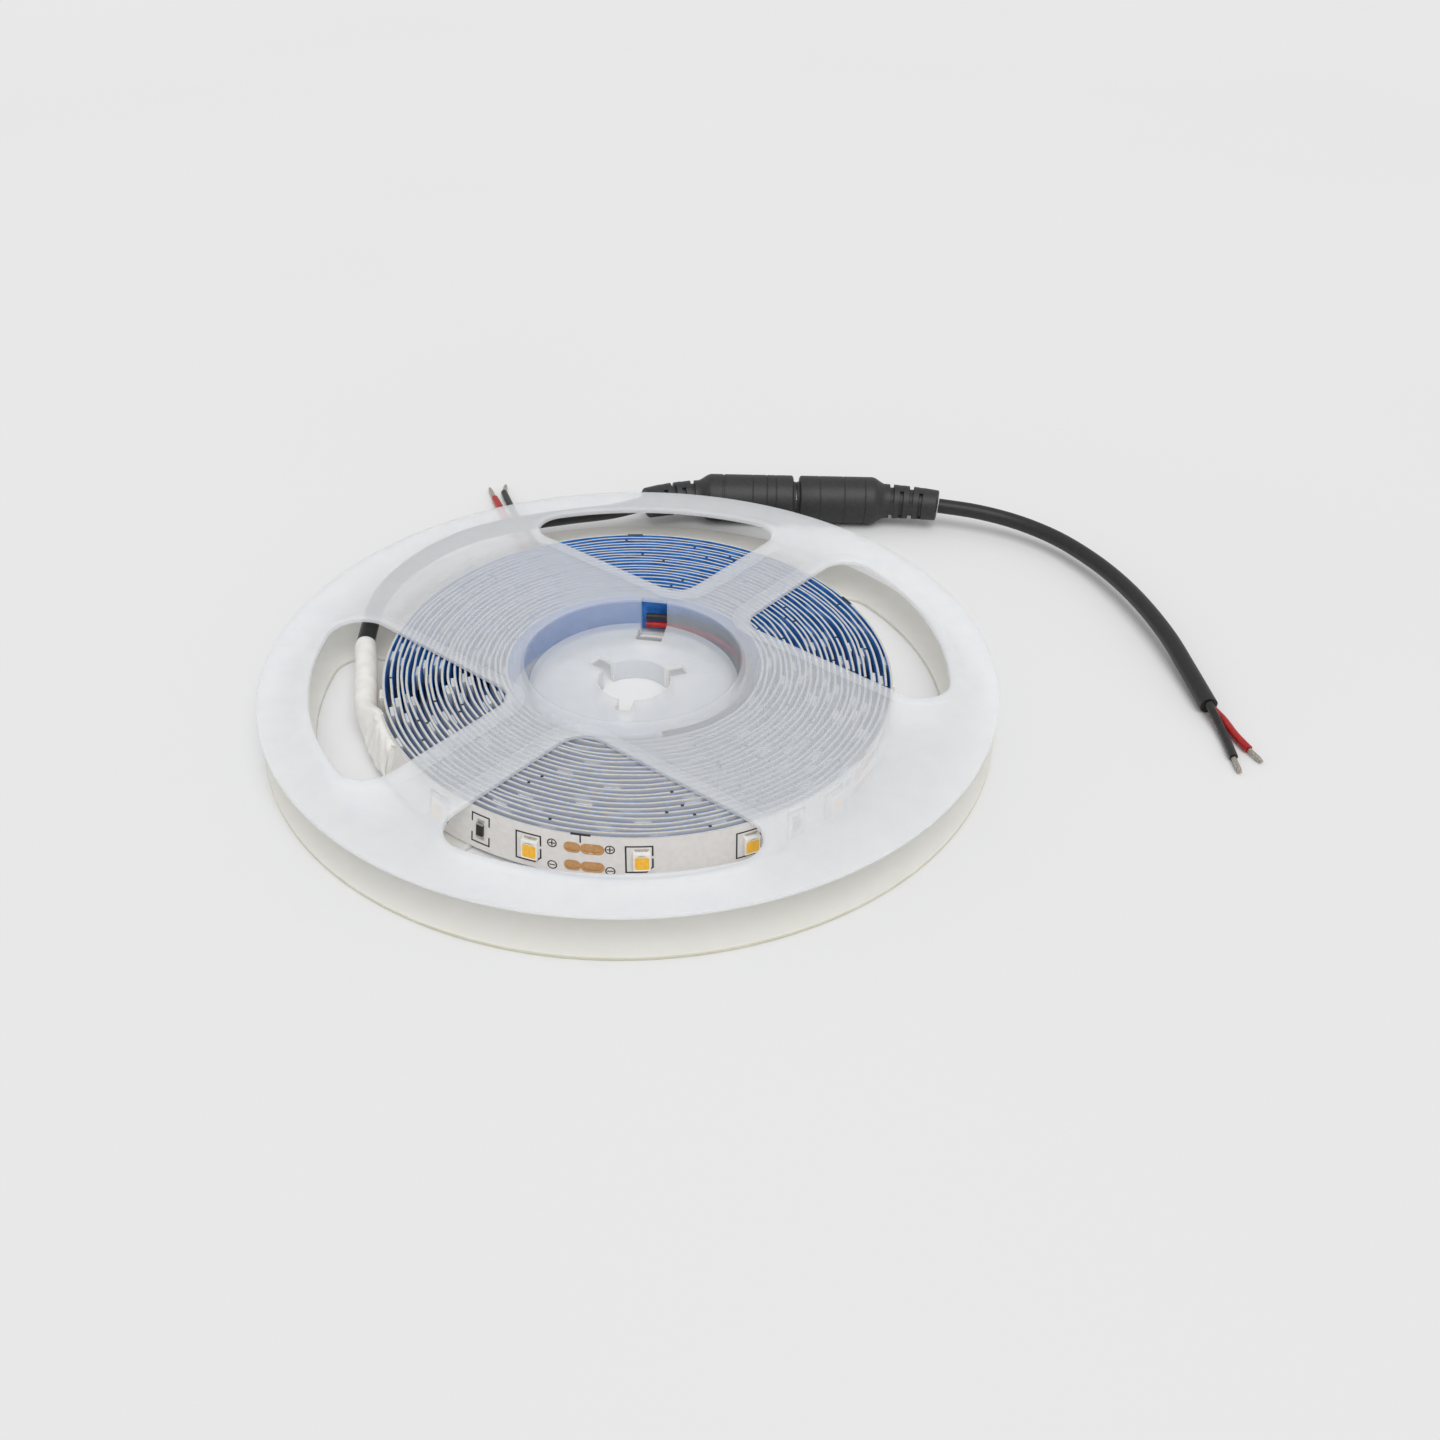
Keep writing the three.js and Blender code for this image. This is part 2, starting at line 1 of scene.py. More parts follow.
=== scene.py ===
# A reel of LED strip light lying on a pale surface: two milky plastic halves, the wound strip with its
# lamps, the sleeved lead with the mated round connector, and the stripped wire ends.
# The scene is in metres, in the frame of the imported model. Sizes are named in millimetres, angles in degrees.
import bpy
import bmesh
import math
import numpy as np
from mathutils import Matrix, Vector, noise


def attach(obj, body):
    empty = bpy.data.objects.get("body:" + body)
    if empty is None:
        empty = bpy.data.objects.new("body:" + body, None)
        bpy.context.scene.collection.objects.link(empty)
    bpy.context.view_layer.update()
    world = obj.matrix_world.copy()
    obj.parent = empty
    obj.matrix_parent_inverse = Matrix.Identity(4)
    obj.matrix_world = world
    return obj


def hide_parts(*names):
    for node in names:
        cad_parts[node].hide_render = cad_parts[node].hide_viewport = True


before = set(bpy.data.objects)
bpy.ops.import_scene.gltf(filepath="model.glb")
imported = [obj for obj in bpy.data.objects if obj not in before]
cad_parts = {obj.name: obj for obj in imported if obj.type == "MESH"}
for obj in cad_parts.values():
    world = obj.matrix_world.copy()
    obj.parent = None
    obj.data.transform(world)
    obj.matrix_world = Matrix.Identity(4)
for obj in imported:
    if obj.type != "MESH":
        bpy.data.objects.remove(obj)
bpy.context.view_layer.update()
MM = 0.001

# Driving sizes, the same values as in the solids
REEL_R, PLATE_T, LID_GAP = 70, 0.85, 0.1
HUB_R, HUB_WALL, HALF_GAP, SKIRT_WALL = 20.7, 1.1, 0.15, 1
WEB_TOP, WEB_T, SPINDLE_R, SPINDLE_WALL = 4.7, 0.9, 7, 1
KEY_W, KEY_R, KEY_COUNT, SLOT_W, SLOT_FLOOR, WEB_SLOT_R = 3.1, 10.6, 3, 5.5, 1.9, 14
SPAR_TURN, WIDE_SPAR, APEX_ROUND, CORNER_ROUND = 47.5, 46.6, 5, 6
BORDER_W, BORDER_H = 2.6, 0.3
STRIP_W, STRIP_T, ROLL_R, WIRE_SPACE, TURN_PITCH, END_ANGLE = 8, 0.5, 50.65, 2.5, 1.185, 195.8
SLEEVED_END, EGG, OVAL, OVAL_SKEW, END_LEAN, LEAN_TURN = 2.3, 0.8, 1.13, 0.52, 19.5, 150
LAMP_PITCH, LAMP_W, LAMP_L, LAMP_H, SEAT_GAP = 18.6, 2.9, 3.6, 0.85, 0.05
SLEEVE_R, SLEEVE_FLAT, SLEEVE_TALL, SLEEVE_TURN, SLEEVE_RISE = 2.45, 1.1, 3.8, 30.2, 4
CABLE_R, WIRE_R, TIP_R, HUB_WIRE_R, BUTT = 1.75, 0.78, 0.5, 0.72, 0.3
PAIR_AT, PAIR_TURN, PAIR_SLIT, SHELL_R = (40, 73.4), -4, 1.5, 5.6
JACK_SHELL_L, PLUG_SHELL_L, SHOULDER_L, RELIEF_L = 20, 17.8, 2.6, 13
RELIEF_R, RELIEF_TIP_R, SHELL_EDGE, JACK_BEND, PLUG_BEND = 4.1, 3.6, 0.5, 27, 14

# The windows, a little larger than in the solids, which have 20.6 and 59 here
NARROW_SPAR, WINDOW_R = 16, 60.8

# Sizes of details that only this script draws
NARROW_BORDER = 1.5
RIM_SIDES, HUB_SIDES, CORNER_STEPS, ARC_STEPS = 288, 192, 12, 36
FREE_FROM, FREE_TO = 49.5, 53
STEP_TURN, BOARD_T, TURN_SPACE = 1.5, 0.4, 0.08
LOOSE_SLOW, LOOSE_OWN, LOOSE_FINE = 0.42, 0.3, 0.12
LAMP_SHIFT, LAMP_ROUND, LENS_DROP, LENS_W, LENS_L = 0.3, 0.16, 0.3, 2.45, 2.6
INNER_LAMP_H, INNER_LAMP_RISE, CHIP_W, CHIP_L, CHIP_H = 0.66, 1.5, 1.3, 2.1, 0.5
FRAME_SHIFT, BRACKET_SHIFT, CHIP_SHIFT, CUT_SHIFT = 0.4, 0.25, 0.2, 0.7
LINE_W, SIGN_LINE, BOW_LINE, CUT_LINE = 0.28, 0.2, 0.12, 0.24
INK_OUT, PAD_OUT, BOW_OUT = 0.025, 0.03, 0.04
PAD_H, PAD_LOBES = 2.1, ((-1.4, 2.9), (1.95, 4.0))
PAD_ROWS = ((2.55, 2.35, True), (6.15, 6.7, False))
SIGN_AT, SIGN_R, SIGN_ARM = 4.85, 0.74, 0.45
ROUND_R, MOUTH_L, MOUTH_START = 2.15, 11.0, 1.2
NECK_L, RING_SIDES = 0.65, 56
GROOVE_W, GROOVE_PITCH, GROOVE_COUNT, GROOVE_DEPTH = 1.0, 2.35, 4, 0.75
TIP_STEPS, TIP_SIDES, TIP_STRANDS, TIP_TWIST = 24, 28, 7, 5

STRIP_Z = PLATE_T
STRIP_TOP = STRIP_Z + STRIP_W
STRIP_MID = STRIP_Z + STRIP_W / 2
MID = STRIP_W / 2
UPPER_Z = STRIP_TOP + LID_GAP
UPPER_TOP = UPPER_Z + PLATE_T
HUB_OUTER_R = HUB_R + HUB_WALL
SKIRT_R = HUB_R - HALF_GAP
SKIRT_INNER_R = SKIRT_R - SKIRT_WALL
INNER_TURN_R = HUB_OUTER_R + WIRE_SPACE
KEY_TURN = SPAR_TURN + 90
SLOT_TURN = KEY_TURN - 60
CHORD = LAMP_PITCH / 3

scene = bpy.context.scene


# Camera, fitted to the rims of both halves, the hub and the spindle hole
CAMERA_AT, LENS, SENSOR = (0, -212.41, 152.36), 32.97, 36
cam_data = bpy.data.cameras.new("camera")
cam = bpy.data.objects.new("camera", cam_data)
scene.collection.objects.link(cam)
ahead = Vector((0.0644, 0.8004, -0.5960)).normalized()
right = Vector((0.9977, -0.0653, 0.0201))
right = (right - ahead * right.dot(ahead)).normalized()
up = right.cross(ahead)
rows = [(right[k], up[k], -ahead[k], CAMERA_AT[k] * MM) for k in range(3)]
cam.matrix_world = Matrix([*rows, (0, 0, 0, 1)])
cam_data.lens = LENS
cam_data.sensor_width = SENSOR
cam_data.clip_start = 0.01
cam_data.clip_end = 20
scene.camera = cam


# Materials
def material(name):
    made = bpy.data.materials.new(name)
    made.use_nodes = True
    tree = made.node_tree
    return made, tree, tree.nodes["Principled BSDF"]


def grain(tree, scale, detail=3.0, stretch=None):
    """Noise over the object's own coordinates."""
    coord = tree.nodes.new("ShaderNodeTexCoord").outputs["Object"]
    if stretch:
        mapping = tree.nodes.new("ShaderNodeMapping")
        mapping.inputs["Scale"].default_value = stretch
        tree.links.new(coord, mapping.inputs["Vector"])
        coord = mapping.outputs["Vector"]
    made = tree.nodes.new("ShaderNodeTexNoise")
    made.inputs["Scale"].default_value = scale
    made.inputs["Detail"].default_value = detail
    made.inputs["Roughness"].default_value = 0.5
    tree.links.new(coord, made.inputs["Vector"])
    return made.outputs["Fac"]


def add_bump(tree, shader, height, strength, distance):
    """Surface relief, with its distance in metres."""
    bump = tree.nodes.new("ShaderNodeBump")
    bump.inputs["Strength"].default_value = strength
    bump.inputs["Distance"].default_value = distance
    tree.links.new(height, bump.inputs["Height"])
    tree.links.new(bump.outputs["Normal"], shader.inputs["Normal"])


def add_colours(tree, shader, source, dark, light):
    ramp = tree.nodes.new("ShaderNodeValToRGB")
    for stop, place, colour in zip(ramp.color_ramp.elements, (0.3, 0.7), (dark, light)):
        stop.position = place
        stop.color = colour
    tree.links.new(source, ramp.inputs["Fac"])
    tree.links.new(ramp.outputs["Color"], shader.inputs["Base Color"])


def rgb(r, g, b):
    """Screen values from 0 to 255 as a linear colour."""
    def linear(v):
        v /= 255
        return v / 12.92 if v <= 0.04045 else ((v + 0.055) / 1.055) ** 2.4
    return (linear(r), linear(g), linear(b), 1)


def speckled(name, dark, light, rough, scale, bump=0.1, distance=0.00005, metallic=0.0, stretch=None):
    """Two close colours mixed by a fine grain that also makes the relief."""
    made, tree, shader = material(name)
    source = grain(tree, scale, stretch=stretch)
    add_colours(tree, shader, source, dark, light)
    shader.inputs["Roughness"].default_value = rough
    shader.inputs["Metallic"].default_value = metallic
    add_bump(tree, shader, source, bump, distance)
    return made


def milky(name, cover, dark, light, away=None):
    """Cloudy plastic: cover is how much each skin hides of what lies behind it, and away is the same for the
    stretch beyond the roll."""
    made, tree, shader = material(name)
    source = grain(tree, 260, 2.0)
    add_colours(tree, shader, source, dark, light)
    if away is None:
        shader.inputs["Alpha"].default_value = cover
    else:
        coord = tree.nodes.new("ShaderNodeTexCoord")
        flat = tree.nodes.new("ShaderNodeVectorMath")
        flat.operation = "MULTIPLY"
        flat.inputs[1].default_value = (1, 1, 0)
        far = tree.nodes.new("ShaderNodeVectorMath")
        far.operation = "LENGTH"
        span = tree.nodes.new("ShaderNodeMapRange")
        span.inputs["From Min"].default_value = FREE_FROM * MM
        span.inputs["From Max"].default_value = FREE_TO * MM
        span.inputs["To Min"].default_value = cover
        span.inputs["To Max"].default_value = away
        tree.links.new(coord.outputs["Object"], flat.inputs[0])
        tree.links.new(flat.outputs["Vector"], far.inputs[0])
        tree.links.new(far.outputs["Value"], span.inputs["Value"])
        tree.links.new(span.outputs["Result"], shader.inputs["Alpha"])
    shader.inputs["Subsurface Weight"].default_value = 0.7
    shader.inputs["Subsurface Radius"].default_value = (1.0, 1.0, 1.0)
    shader.inputs["Subsurface Scale"].default_value = 0.002
    shader.inputs["IOR"].default_value = 1.45
    gloss = tree.nodes.new("ShaderNodeMapRange")
    gloss.inputs["To Min"].default_value = 0.42
    gloss.inputs["To Max"].default_value = 0.52
    tree.links.new(source, gloss.inputs["Value"])
    tree.links.new(gloss.outputs["Result"], shader.inputs["Roughness"])
    add_bump(tree, shader, source, 0.15, 0.0002)
    return made


COOL = (rgb(237, 241, 248), rgb(243, 245, 251))
WARM = (rgb(250, 246, 234), rgb(253, 250, 241))
REEL = milky("reel_milky", 0.34, *COOL, away=0.5)
WALL = milky("reel_wall", 0.22, rgb(230, 238, 254), rgb(238, 244, 255))
BORDER = milky("reel_border", 0.45, *COOL, away=0.5)
WEB = milky("reel_web", 0.4, *COOL)
LOWER = milky("reel_lower", 0.72, *WARM)
# Painted shade: the lower rim's outer side and underside are darker and more olive than the plate, standing for
# the edge in shade and the contact shadow under it
RIM_SHADE = milky("reel_rim_painted_shade", 0.85, rgb(206, 202, 182), rgb(218, 214, 196))
FACE = speckled("strip_face", rgb(214, 211, 209), rgb(222, 219, 216), 0.42, 900, 0.12, 0.00004)
EDGE = speckled("strip_edge", rgb(192, 191, 180), rgb(210, 208, 198), 0.5, 1400, 0.1, 0.00003)
BACK = speckled("strip_back", rgb(24, 94, 180), rgb(60, 138, 218), 0.35, 500, 0.1, 0.00004)
INK = speckled("strip_ink", rgb(24, 22, 22), rgb(44, 41, 40), 0.6, 2600, 0.1, 0.00001)
COPPER = speckled("pad_copper", rgb(184, 136, 86), rgb(200, 154, 104), 0.38, 1300, 0.2, 0.00004, 0.2)
BOW = speckled("pad_line", rgb(150, 102, 58), rgb(166, 118, 72), 0.45, 1300)
BODY = speckled("lamp_white", rgb(226, 224, 218), rgb(238, 236, 230), 0.35, 1200, 0.05, 0.00002)
GLOW = speckled("lamp_phosphor", rgb(240, 176, 44), rgb(248, 194, 70), 0.3, 1600, 0.08, 0.00002)
SOLDER = speckled("solder", rgb(168, 164, 156), rgb(206, 203, 196), 0.28, 2400, 0.3, 0.00004, 0.8)
CHIP = speckled("resistor_black", rgb(16, 16, 17), rgb(34, 33, 33), 0.4, 2200, 0.2, 0.00002)
SLEEVE = speckled("sleeve_white", rgb(226, 224, 219), rgb(236, 235, 231), 0.48, 420, 0.3, 0.0001)
CABLE = speckled("cable_black", rgb(26, 26, 26), rgb(34, 34, 35), 0.42, 800, 0.1, 0.00004)
MOULD = speckled("moulding_black", rgb(36, 36, 38), rgb(46, 46, 48), 0.5, 1500, 0.25, 0.00006)
PLATED = speckled("plated", rgb(188, 189, 190), rgb(204, 205, 206), 0.25, 900, 0.05, 0.00002, 1.0)
TINNED = speckled("tinned_strands", rgb(150, 140, 128), rgb(206, 200, 190), 0.38, 900, 0.5, 0.0001, 0.7,
                  stretch=(4, 4, 1))
RED = speckled("wire_red", rgb(158, 22, 20), rgb(182, 34, 30), 0.35, 900, 0.08, 0.00003)
BLACK = speckled("wire_black", rgb(28, 28, 28), rgb(38, 38, 38), 0.35, 900, 0.08, 0.00003)


# Mesh helpers
def shade(mesh, sharp):
    """Smooth shading, broken where faces meet at more than the sharp angle."""
    for p in mesh.polygons:
        p.use_smooth = True
    mesh.set_sharp_from_angle(angle=math.radians(sharp))


def to_object(name, bm, mats, sharp=32, replaces=()):
    bmesh.ops.recalc_face_normals(bm, faces=bm.faces)
    mesh = bpy.data.meshes.new(name)
    bm.to_mesh(mesh)
    bm.free()
    for mat in mats:
        mesh.materials.append(mat)
    shade(mesh, sharp)
    ob = bpy.data.objects.new(name, mesh)
    scene.collection.objects.link(ob)
    if replaces:
        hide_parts(*replaces)
    return ob


def join(bm, a, b):
    """Faces between two closed loops with as many corners."""
    n = len(a)
    for i in range(n):
        bm.faces.new((a[i], a[(i + 1) % n], b[(i + 1) % n], b[i]))


def tube(bm, loops):
    """A skin over closed loops, with both ends capped."""
    for a, b in zip(loops, loops[1:]):
        join(bm, a, b)
    bm.faces.new(loops[0][::-1])
    bm.faces.new(loops[-1])


def loft_mesh(rings):
    bm = bmesh.new()
    tube(bm, [[bm.verts.new(p * MM) for p in ring] for ring in rings])
    return bm


def arc(cx, cy, r, a, b, n):
    turns = [a + (b - a) * i / n for i in range(n + 1)]
    return [(cx + r * math.cos(t), cy + r * math.sin(t)) for t in turns]


def circle(r, n):
    return arc(0, 0, r, 0, 2 * math.pi, n)[:-1]


def polar(r, turn, z):
    return (r * math.cos(math.radians(turn)), r * math.sin(math.radians(turn)), z)


def smooth(t):
    """A soft step from 0 to 1."""
    t = min(1, max(0, t))
    return t * t * (3 - 2 * t)


def bulge(v, power):
    """A sine or cosine pushed towards a squarer shape."""
    return math.copysign(abs(v) ** power, v)


def carve(ob, cutters):
    """Cut the blocks out of a piece and remove them."""
    for cutter in cutters:
        cut = ob.modifiers.new("cut", "BOOLEAN")
        cut.operation = "DIFFERENCE"
        cut.solver = "EXACT"
        cut.object = cutter
    bpy.context.view_layer.update()
    graph = bpy.context.evaluated_depsgraph_get()
    mesh = bpy.data.meshes.new_from_object(ob.evaluated_get(graph))
    ob.modifiers.clear()
    old = ob.data
    ob.data = mesh
    bpy.data.meshes.remove(old)
    shade(mesh, 32)
    for cutter in cutters:
        bpy.data.objects.remove(cutter)
    return ob


def block(name, from_r, to_r, width, z, height, turn):
    """A cutter from one radius to another, turned about the axis."""
    bm = bmesh.new()
    bmesh.ops.create_cube(bm, size=1.0)
    bmesh.ops.scale(bm, vec=((to_r - from_r) * MM, width * MM, height * MM), verts=bm.verts)
    bmesh.ops.translate(bm, vec=((from_r + to_r) / 2 * MM, 0, (z + height / 2) * MM), verts=bm.verts)
    bmesh.ops.rotate(bm, cent=(0, 0, 0), matrix=Matrix.Rotation(math.radians(turn), 3, "Z"), verts=bm.verts)
    mesh = bpy.data.meshes.new(name)
    bm.to_mesh(mesh)
    bm.free()
    ob = bpy.data.objects.new(name, mesh)
    scene.collection.objects.link(ob)
    return ob


# Cord routes
def catmull(points, share):
    """Point at a share of a smooth curve through the points, as the solids' cords are made."""
    pts = [np.array(p, float) for p in points]
    last = len(pts) - 1
    i = min(int(share * last), last - 1)
    w = share * last - i
    p0 = pts[i - 1] if i > 0 else 2 * pts[0] - pts[1]
    p1, p2 = pts[i], pts[i + 1]
    p3 = pts[i + 2] if i + 2 <= last else 2 * pts[last] - pts[last - 1]
    d0, d1, d2 = (max(np.linalg.norm(b - a) ** 0.5, 1e-6) for a, b in ((p0, p1), (p1, p2), (p2, p3)))
    t1 = ((p1 - p0) / d0 - (p2 - p0) / (d0 + d1) + (p2 - p1) / d1) * d1
    t2 = ((p2 - p1) / d1 - (p3 - p1) / (d1 + d2) + (p3 - p2) / d2) * d1
    return p1 + t1 * w + (-3 * p1 + 3 * p2 - 2 * t1 - t2) * w * w + (2 * p1 - 2 * p2 + t1 + t2) * w ** 3


def route(points, count):
    """Evenly spaced points along the curve, and its length."""
    fine = np.array([catmull(points, s) for s in np.linspace(0, 1, 600)])
    step = np.r_[0, np.cumsum(np.linalg.norm(np.diff(fine, axis=0), axis=1))]
    want = np.linspace(0, step[-1], count)
    return np.stack([np.interp(want, step, fine[:, k]) for k in range(3)], 1), step[-1]


def cord_curve(name, points, radius, mat, node, count=40):
    """A round cord as one spline. Gives the piece, its points and its length in metres."""
    line, length = route(points, count)
    curve = bpy.data.curves.new(name, "CURVE")
    curve.dimensions = "3D"
    curve.bevel_depth = radius * MM
    curve.bevel_resolution = 8
    curve.use_fill_caps = True
    spline = curve.splines.new("POLY")
    spline.points.add(len(line) - 1)
    for point, v in zip(spline.points, line):
        point.co = (v[0] * MM, v[1] * MM, v[2] * MM, 1)
    spline.use_smooth = True
    curve.materials.append(mat)
    ob = bpy.data.objects.new(name, curve)
    scene.collection.objects.link(ob)
    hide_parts(node)
    return ob, line, length * MM


# The strip's line, an egg-shaped spiral from the outer end inward
def roll_radius(turned):
    base = ROLL_R - TURN_PITCH * turned / 360
    share = (base - INNER_TURN_R) / (ROLL_R - INNER_TURN_R)
    a = np.radians(END_ANGLE + turned)
    wobble = EGG * np.cos(a) - OVAL * np.cos(2 * a) - OVAL_SKEW * np.sin(2 * a)
    return base + share * wobble


def loosened(turned):
    """Small uneven spacing of the turns, faded out at the outer turn and at the last two."""
    out = np.zeros_like(turned)
    for i, t in enumerate(turned):
        c, s = math.cos(math.radians(END_ANGLE + t)), math.sin(math.radians(END_ANGLE + t))
        k = t / 360
        if k > 1:
            slow = noise.noise((2.2 * c, 2.2 * s, 0.45 * k))
            fine = noise.noise((9 * c - 5, 9 * s, 3.3 * k))
            own = noise.noise((3.6 * c + 9, 3.6 * s, 2.1 * k))
            fade = min(1.0, (k - 1) * 2) * min(1.0, (TURNED_TOTAL / 360 - k) / 2)
            out[i] = (LOOSE_SLOW * slow + LOOSE_OWN * own + LOOSE_FINE * fine) * fade
    return out


TURNED_TOTAL = (ROLL_R - INNER_TURN_R) / TURN_PITCH * 360
TURNS = np.arange(0, TURNED_TOTAL, STEP_TURN)
ROLL = roll_radius(TURNS) + loosened(TURNS)
# No turn reaches into the one outside it
ONE_TURN = round(360 / STEP_TURN)
for i in range(ONE_TURN, len(ROLL)):
    ROLL[i] = min(ROLL[i], ROLL[i - ONE_TURN] - STRIP_T - TURN_SPACE)
ROLL_A = np.radians(END_ANGLE + TURNS)
LINE = np.stack([ROLL * np.cos(ROLL_A), ROLL * np.sin(ROLL_A)], 1)
WAY = np.r_[0, np.cumsum(np.linalg.norm(np.diff(LINE, axis=0), axis=1))]
LEAN = math.radians(END_LEAN) * np.clip(1 - TURNS / LEAN_TURN, 0, 1) ** 2


def line_at(s):
    return np.interp(s, WAY, LINE[:, 0]), np.interp(s, WAY, LINE[:, 1])


def on_strip(s, out, drop):
    """Point at a way s along the outer face, out from it, and drop down it from the strip's top edge."""
    x, y = line_at(s)
    lean = float(np.interp(s, WAY, LEAN))
    r = math.hypot(x, y)
    reached = r + drop * math.sin(lean) + out * math.cos(lean)
    z = max(STRIP_Z, STRIP_TOP - drop * math.cos(lean) + out * math.sin(lean))
    return (x * reached / r, y * reached / r, z)


start = on_strip(SLEEVED_END, -STRIP_T / 2, STRIP_W / 2)
outward = math.hypot(start[0], start[1])
start_turn = math.degrees(math.atan2(start[1], start[0]) - BUTT / outward)
start_lean = float(np.interp(SLEEVED_END, WAY, LEAN))
SLEEVE_ROUTE = [polar(outward, start_turn, STRIP_MID)]
for share in (0.13, 0.42, 0.74, 1):
    past = SLEEVE_TURN * share
    room = LAMP_H + SEAT_GAP + SLEEVE_RISE * share ** 3
    SLEEVE_ROUTE.append(polar(float(roll_radius(360 - past)) + room + SLEEVE_R, END_ANGLE - past, STRIP_MID))


# The connector's line and the rings along it
def ring_along(place, heading, wide, tall, square, sides):
    """A ring across the heading: round where square is 2, boxier where it is more."""
    side = Vector((-heading[1], heading[0], 0)).normalized()
    out = []
    for k in range(sides):
        a = 2 * math.pi * (k + 0.5) / sides
        x = wide * bulge(math.cos(a), 2 / square)
        y = tall * bulge(math.sin(a), 2 / square)
        out.append(Vector(place) + side * x + Vector((0, 0, y)))
    return out


def bent(s, straight, bend, length, origin, turn):
    """Place and heading at a way s along a line that is straight first and bends over the given length."""
    beyond_straight = max(0.0, s - straight)
    rate = math.radians(bend) / length
    ang = rate * beyond_straight
    x = min(s, straight) + math.sin(ang) / rate
    y = (1 - math.cos(ang)) / rate
    c, sn = math.cos(math.radians(turn)), math.sin(math.radians(turn))
    place = (origin[0] + x * c - y * sn, origin[1] + x * sn + y * c, origin[2])
    return place, (math.cos(ang) * c - math.sin(ang) * sn, math.cos(ang) * sn + math.sin(ang) * c, 0)


def half_line(side, shell, bend):
    """Values for bent() of one connector half, which runs from the slit to the given side."""
    axis = Vector(polar(1, PAIR_TURN, 0))
    face = Vector((*PAIR_AT, SHELL_R)) + axis * (side * PAIR_SLIT / 2)
    turn = PAIR_TURN if side > 0 else PAIR_TURN + 180
    return {"straight": shell, "bend": bend, "length": SHOULDER_L + RELIEF_L, "origin": face, "turn": turn}


def beyond(shell, line):
    """Where a cable starts, a butt gap past the strain relief's end."""
    place, heading = bent(shell + SHOULDER_L + RELIEF_L, **line)
    return tuple(a + b * BUTT for a, b in zip(place, heading))


JACK = half_line(-1, JACK_SHELL_L, JACK_BEND)
PLUG = half_line(1, PLUG_SHELL_L, -PLUG_BEND)

# Cords, made before the other pieces, with the same points as in the solids
sleeve_end = catmull(SLEEVE_ROUTE, 1.0)
sleeve_dir = sleeve_end - catmull(SLEEVE_ROUTE, 0.995)
sleeve_dir = sleeve_dir / np.linalg.norm(sleeve_dir)
lead, lead_line, lead_len = cord_curve("lead", [
    tuple(sleeve_end + sleeve_dir * 2 * BUTT), (-53.6, 18.8, 5.6), (-53, 27.8, 6.4), (-50, 36.8, 6.9),
    (-44.2, 46.4, 7.05), (-36.4, 54.3, 7.05), (-25.7, 59.7, 7.05), (-13.9, 64, 6.6), (-4.1, 67.7, 5.9),
    beyond(JACK_SHELL_L, JACK)], CABLE_R, CABLE, "lead_cable")
JACKET_END = (112.8, -9.2, CABLE_R + 0.1)
pigtail, pig_line, pig_len = cord_curve("pigtail", [
    beyond(PLUG_SHELL_L, PLUG), (82.7, 66.2, 5.4), (91.7, 61.9, 4.7), (99.4, 54.9, 4.1), (105.1, 44.7, 3.9),
    (108.4, 34.9, 3.9), (110.6, 24.3, 3.8), (112, 12.6, 3.4), (112.5, 2.4, 2.6), JACKET_END],
    CABLE_R, CABLE, "pigtail_cable")
wire_b, _, _ = cord_curve("wire_black_end", [
    (JACKET_END[0] - 0.25, JACKET_END[1] - BUTT, JACKET_END[2] + 0.6), (112.9, -14.8, 1.4), (112.7, -19.6, 1),
    (112.2, -24.4, 0.88)], WIRE_R, BLACK, "black_wire", 20)
wire_r, _, _ = cord_curve("wire_red_end", [
    (JACKET_END[0] + 0.8, JACKET_END[1] - BUTT, JACKET_END[2] - 0.65), (114.4, -12.8, 1.15), (115, -17.9, 1),
    (116, -22.1, 0.88)], WIRE_R, RED, "red_wire", 20)
TAIL_Z = PLATE_T + WIRE_R + 0.05
tail_b, tail_b_line, tail_b_len = cord_curve("tail_black", [
    (-17.5, 49.6, TAIL_Z), (-22, 60, TAIL_Z), (-25.6, 69.5, TAIL_Z), (-28.6, 78.8, 1.1),
    (-31.2, 88, WIRE_R + 0.1)], WIRE_R, BLACK, "black_tail", 24)
tail_r, tail_r_line, tail_r_len = cord_curve("tail_red", [
    (-20.4, 49, TAIL_Z), (-24.8, 59.4, TAIL_Z), (-28.3, 69.2, TAIL_Z), (-31.2, 78.4, 1.05),
    (-33.3, 85, WIRE_R + 0.1)], WIRE_R, RED, "red_tail", 24)


def tip(name, a, b, node):
    """Tinned strands: a thin rod with shallow twisted grooves, tapered over its last quarter."""
    a, b = Vector(a), Vector(b)
    ahead = (b - a).normalized()
    side = Vector((-ahead.y, ahead.x, 0)).normalized()
    top = ahead.cross(side)
    rings = []
    for i in range(TIP_STEPS + 1):
        f = i / TIP_STEPS
        r = TIP_R * (1 - 0.35 * max(0.0, f - 0.75) * 4)
        ring = []
        for k in range(TIP_SIDES):
            ang = 2 * math.pi * k / TIP_SIDES
            g = r * (1 - 0.1 * (0.5 + 0.5 * math.cos(TIP_STRANDS * ang + TIP_TWIST * f)))
            ring.append(a + (b - a) * f + side * (g * math.cos(ang)) + top * (g * math.sin(ang)))
        rings.append(ring)
    return to_object(name, loft_mesh(rings), [TINNED], 50, (node,))


tip_b = tip("tip_black_end", (112.15, -24.6, 0.75), (111.9, -28.6, 0.6), "black_tip")
tip_r = tip("tip_red_end", (116.08, -22.3, 0.8), (117.2, -25.7, 0.6), "red_tip")
tip_tb = tip("tip_black_tail", (-31.28, 88.2, 0.75), (-31.1, 92.5, 0.6), "black_tail_tip")
tip_tr = tip("tip_red_tail", (-33.4, 85.2, 0.75), (-35, 90.9, 0.6), "red_tail_tip")


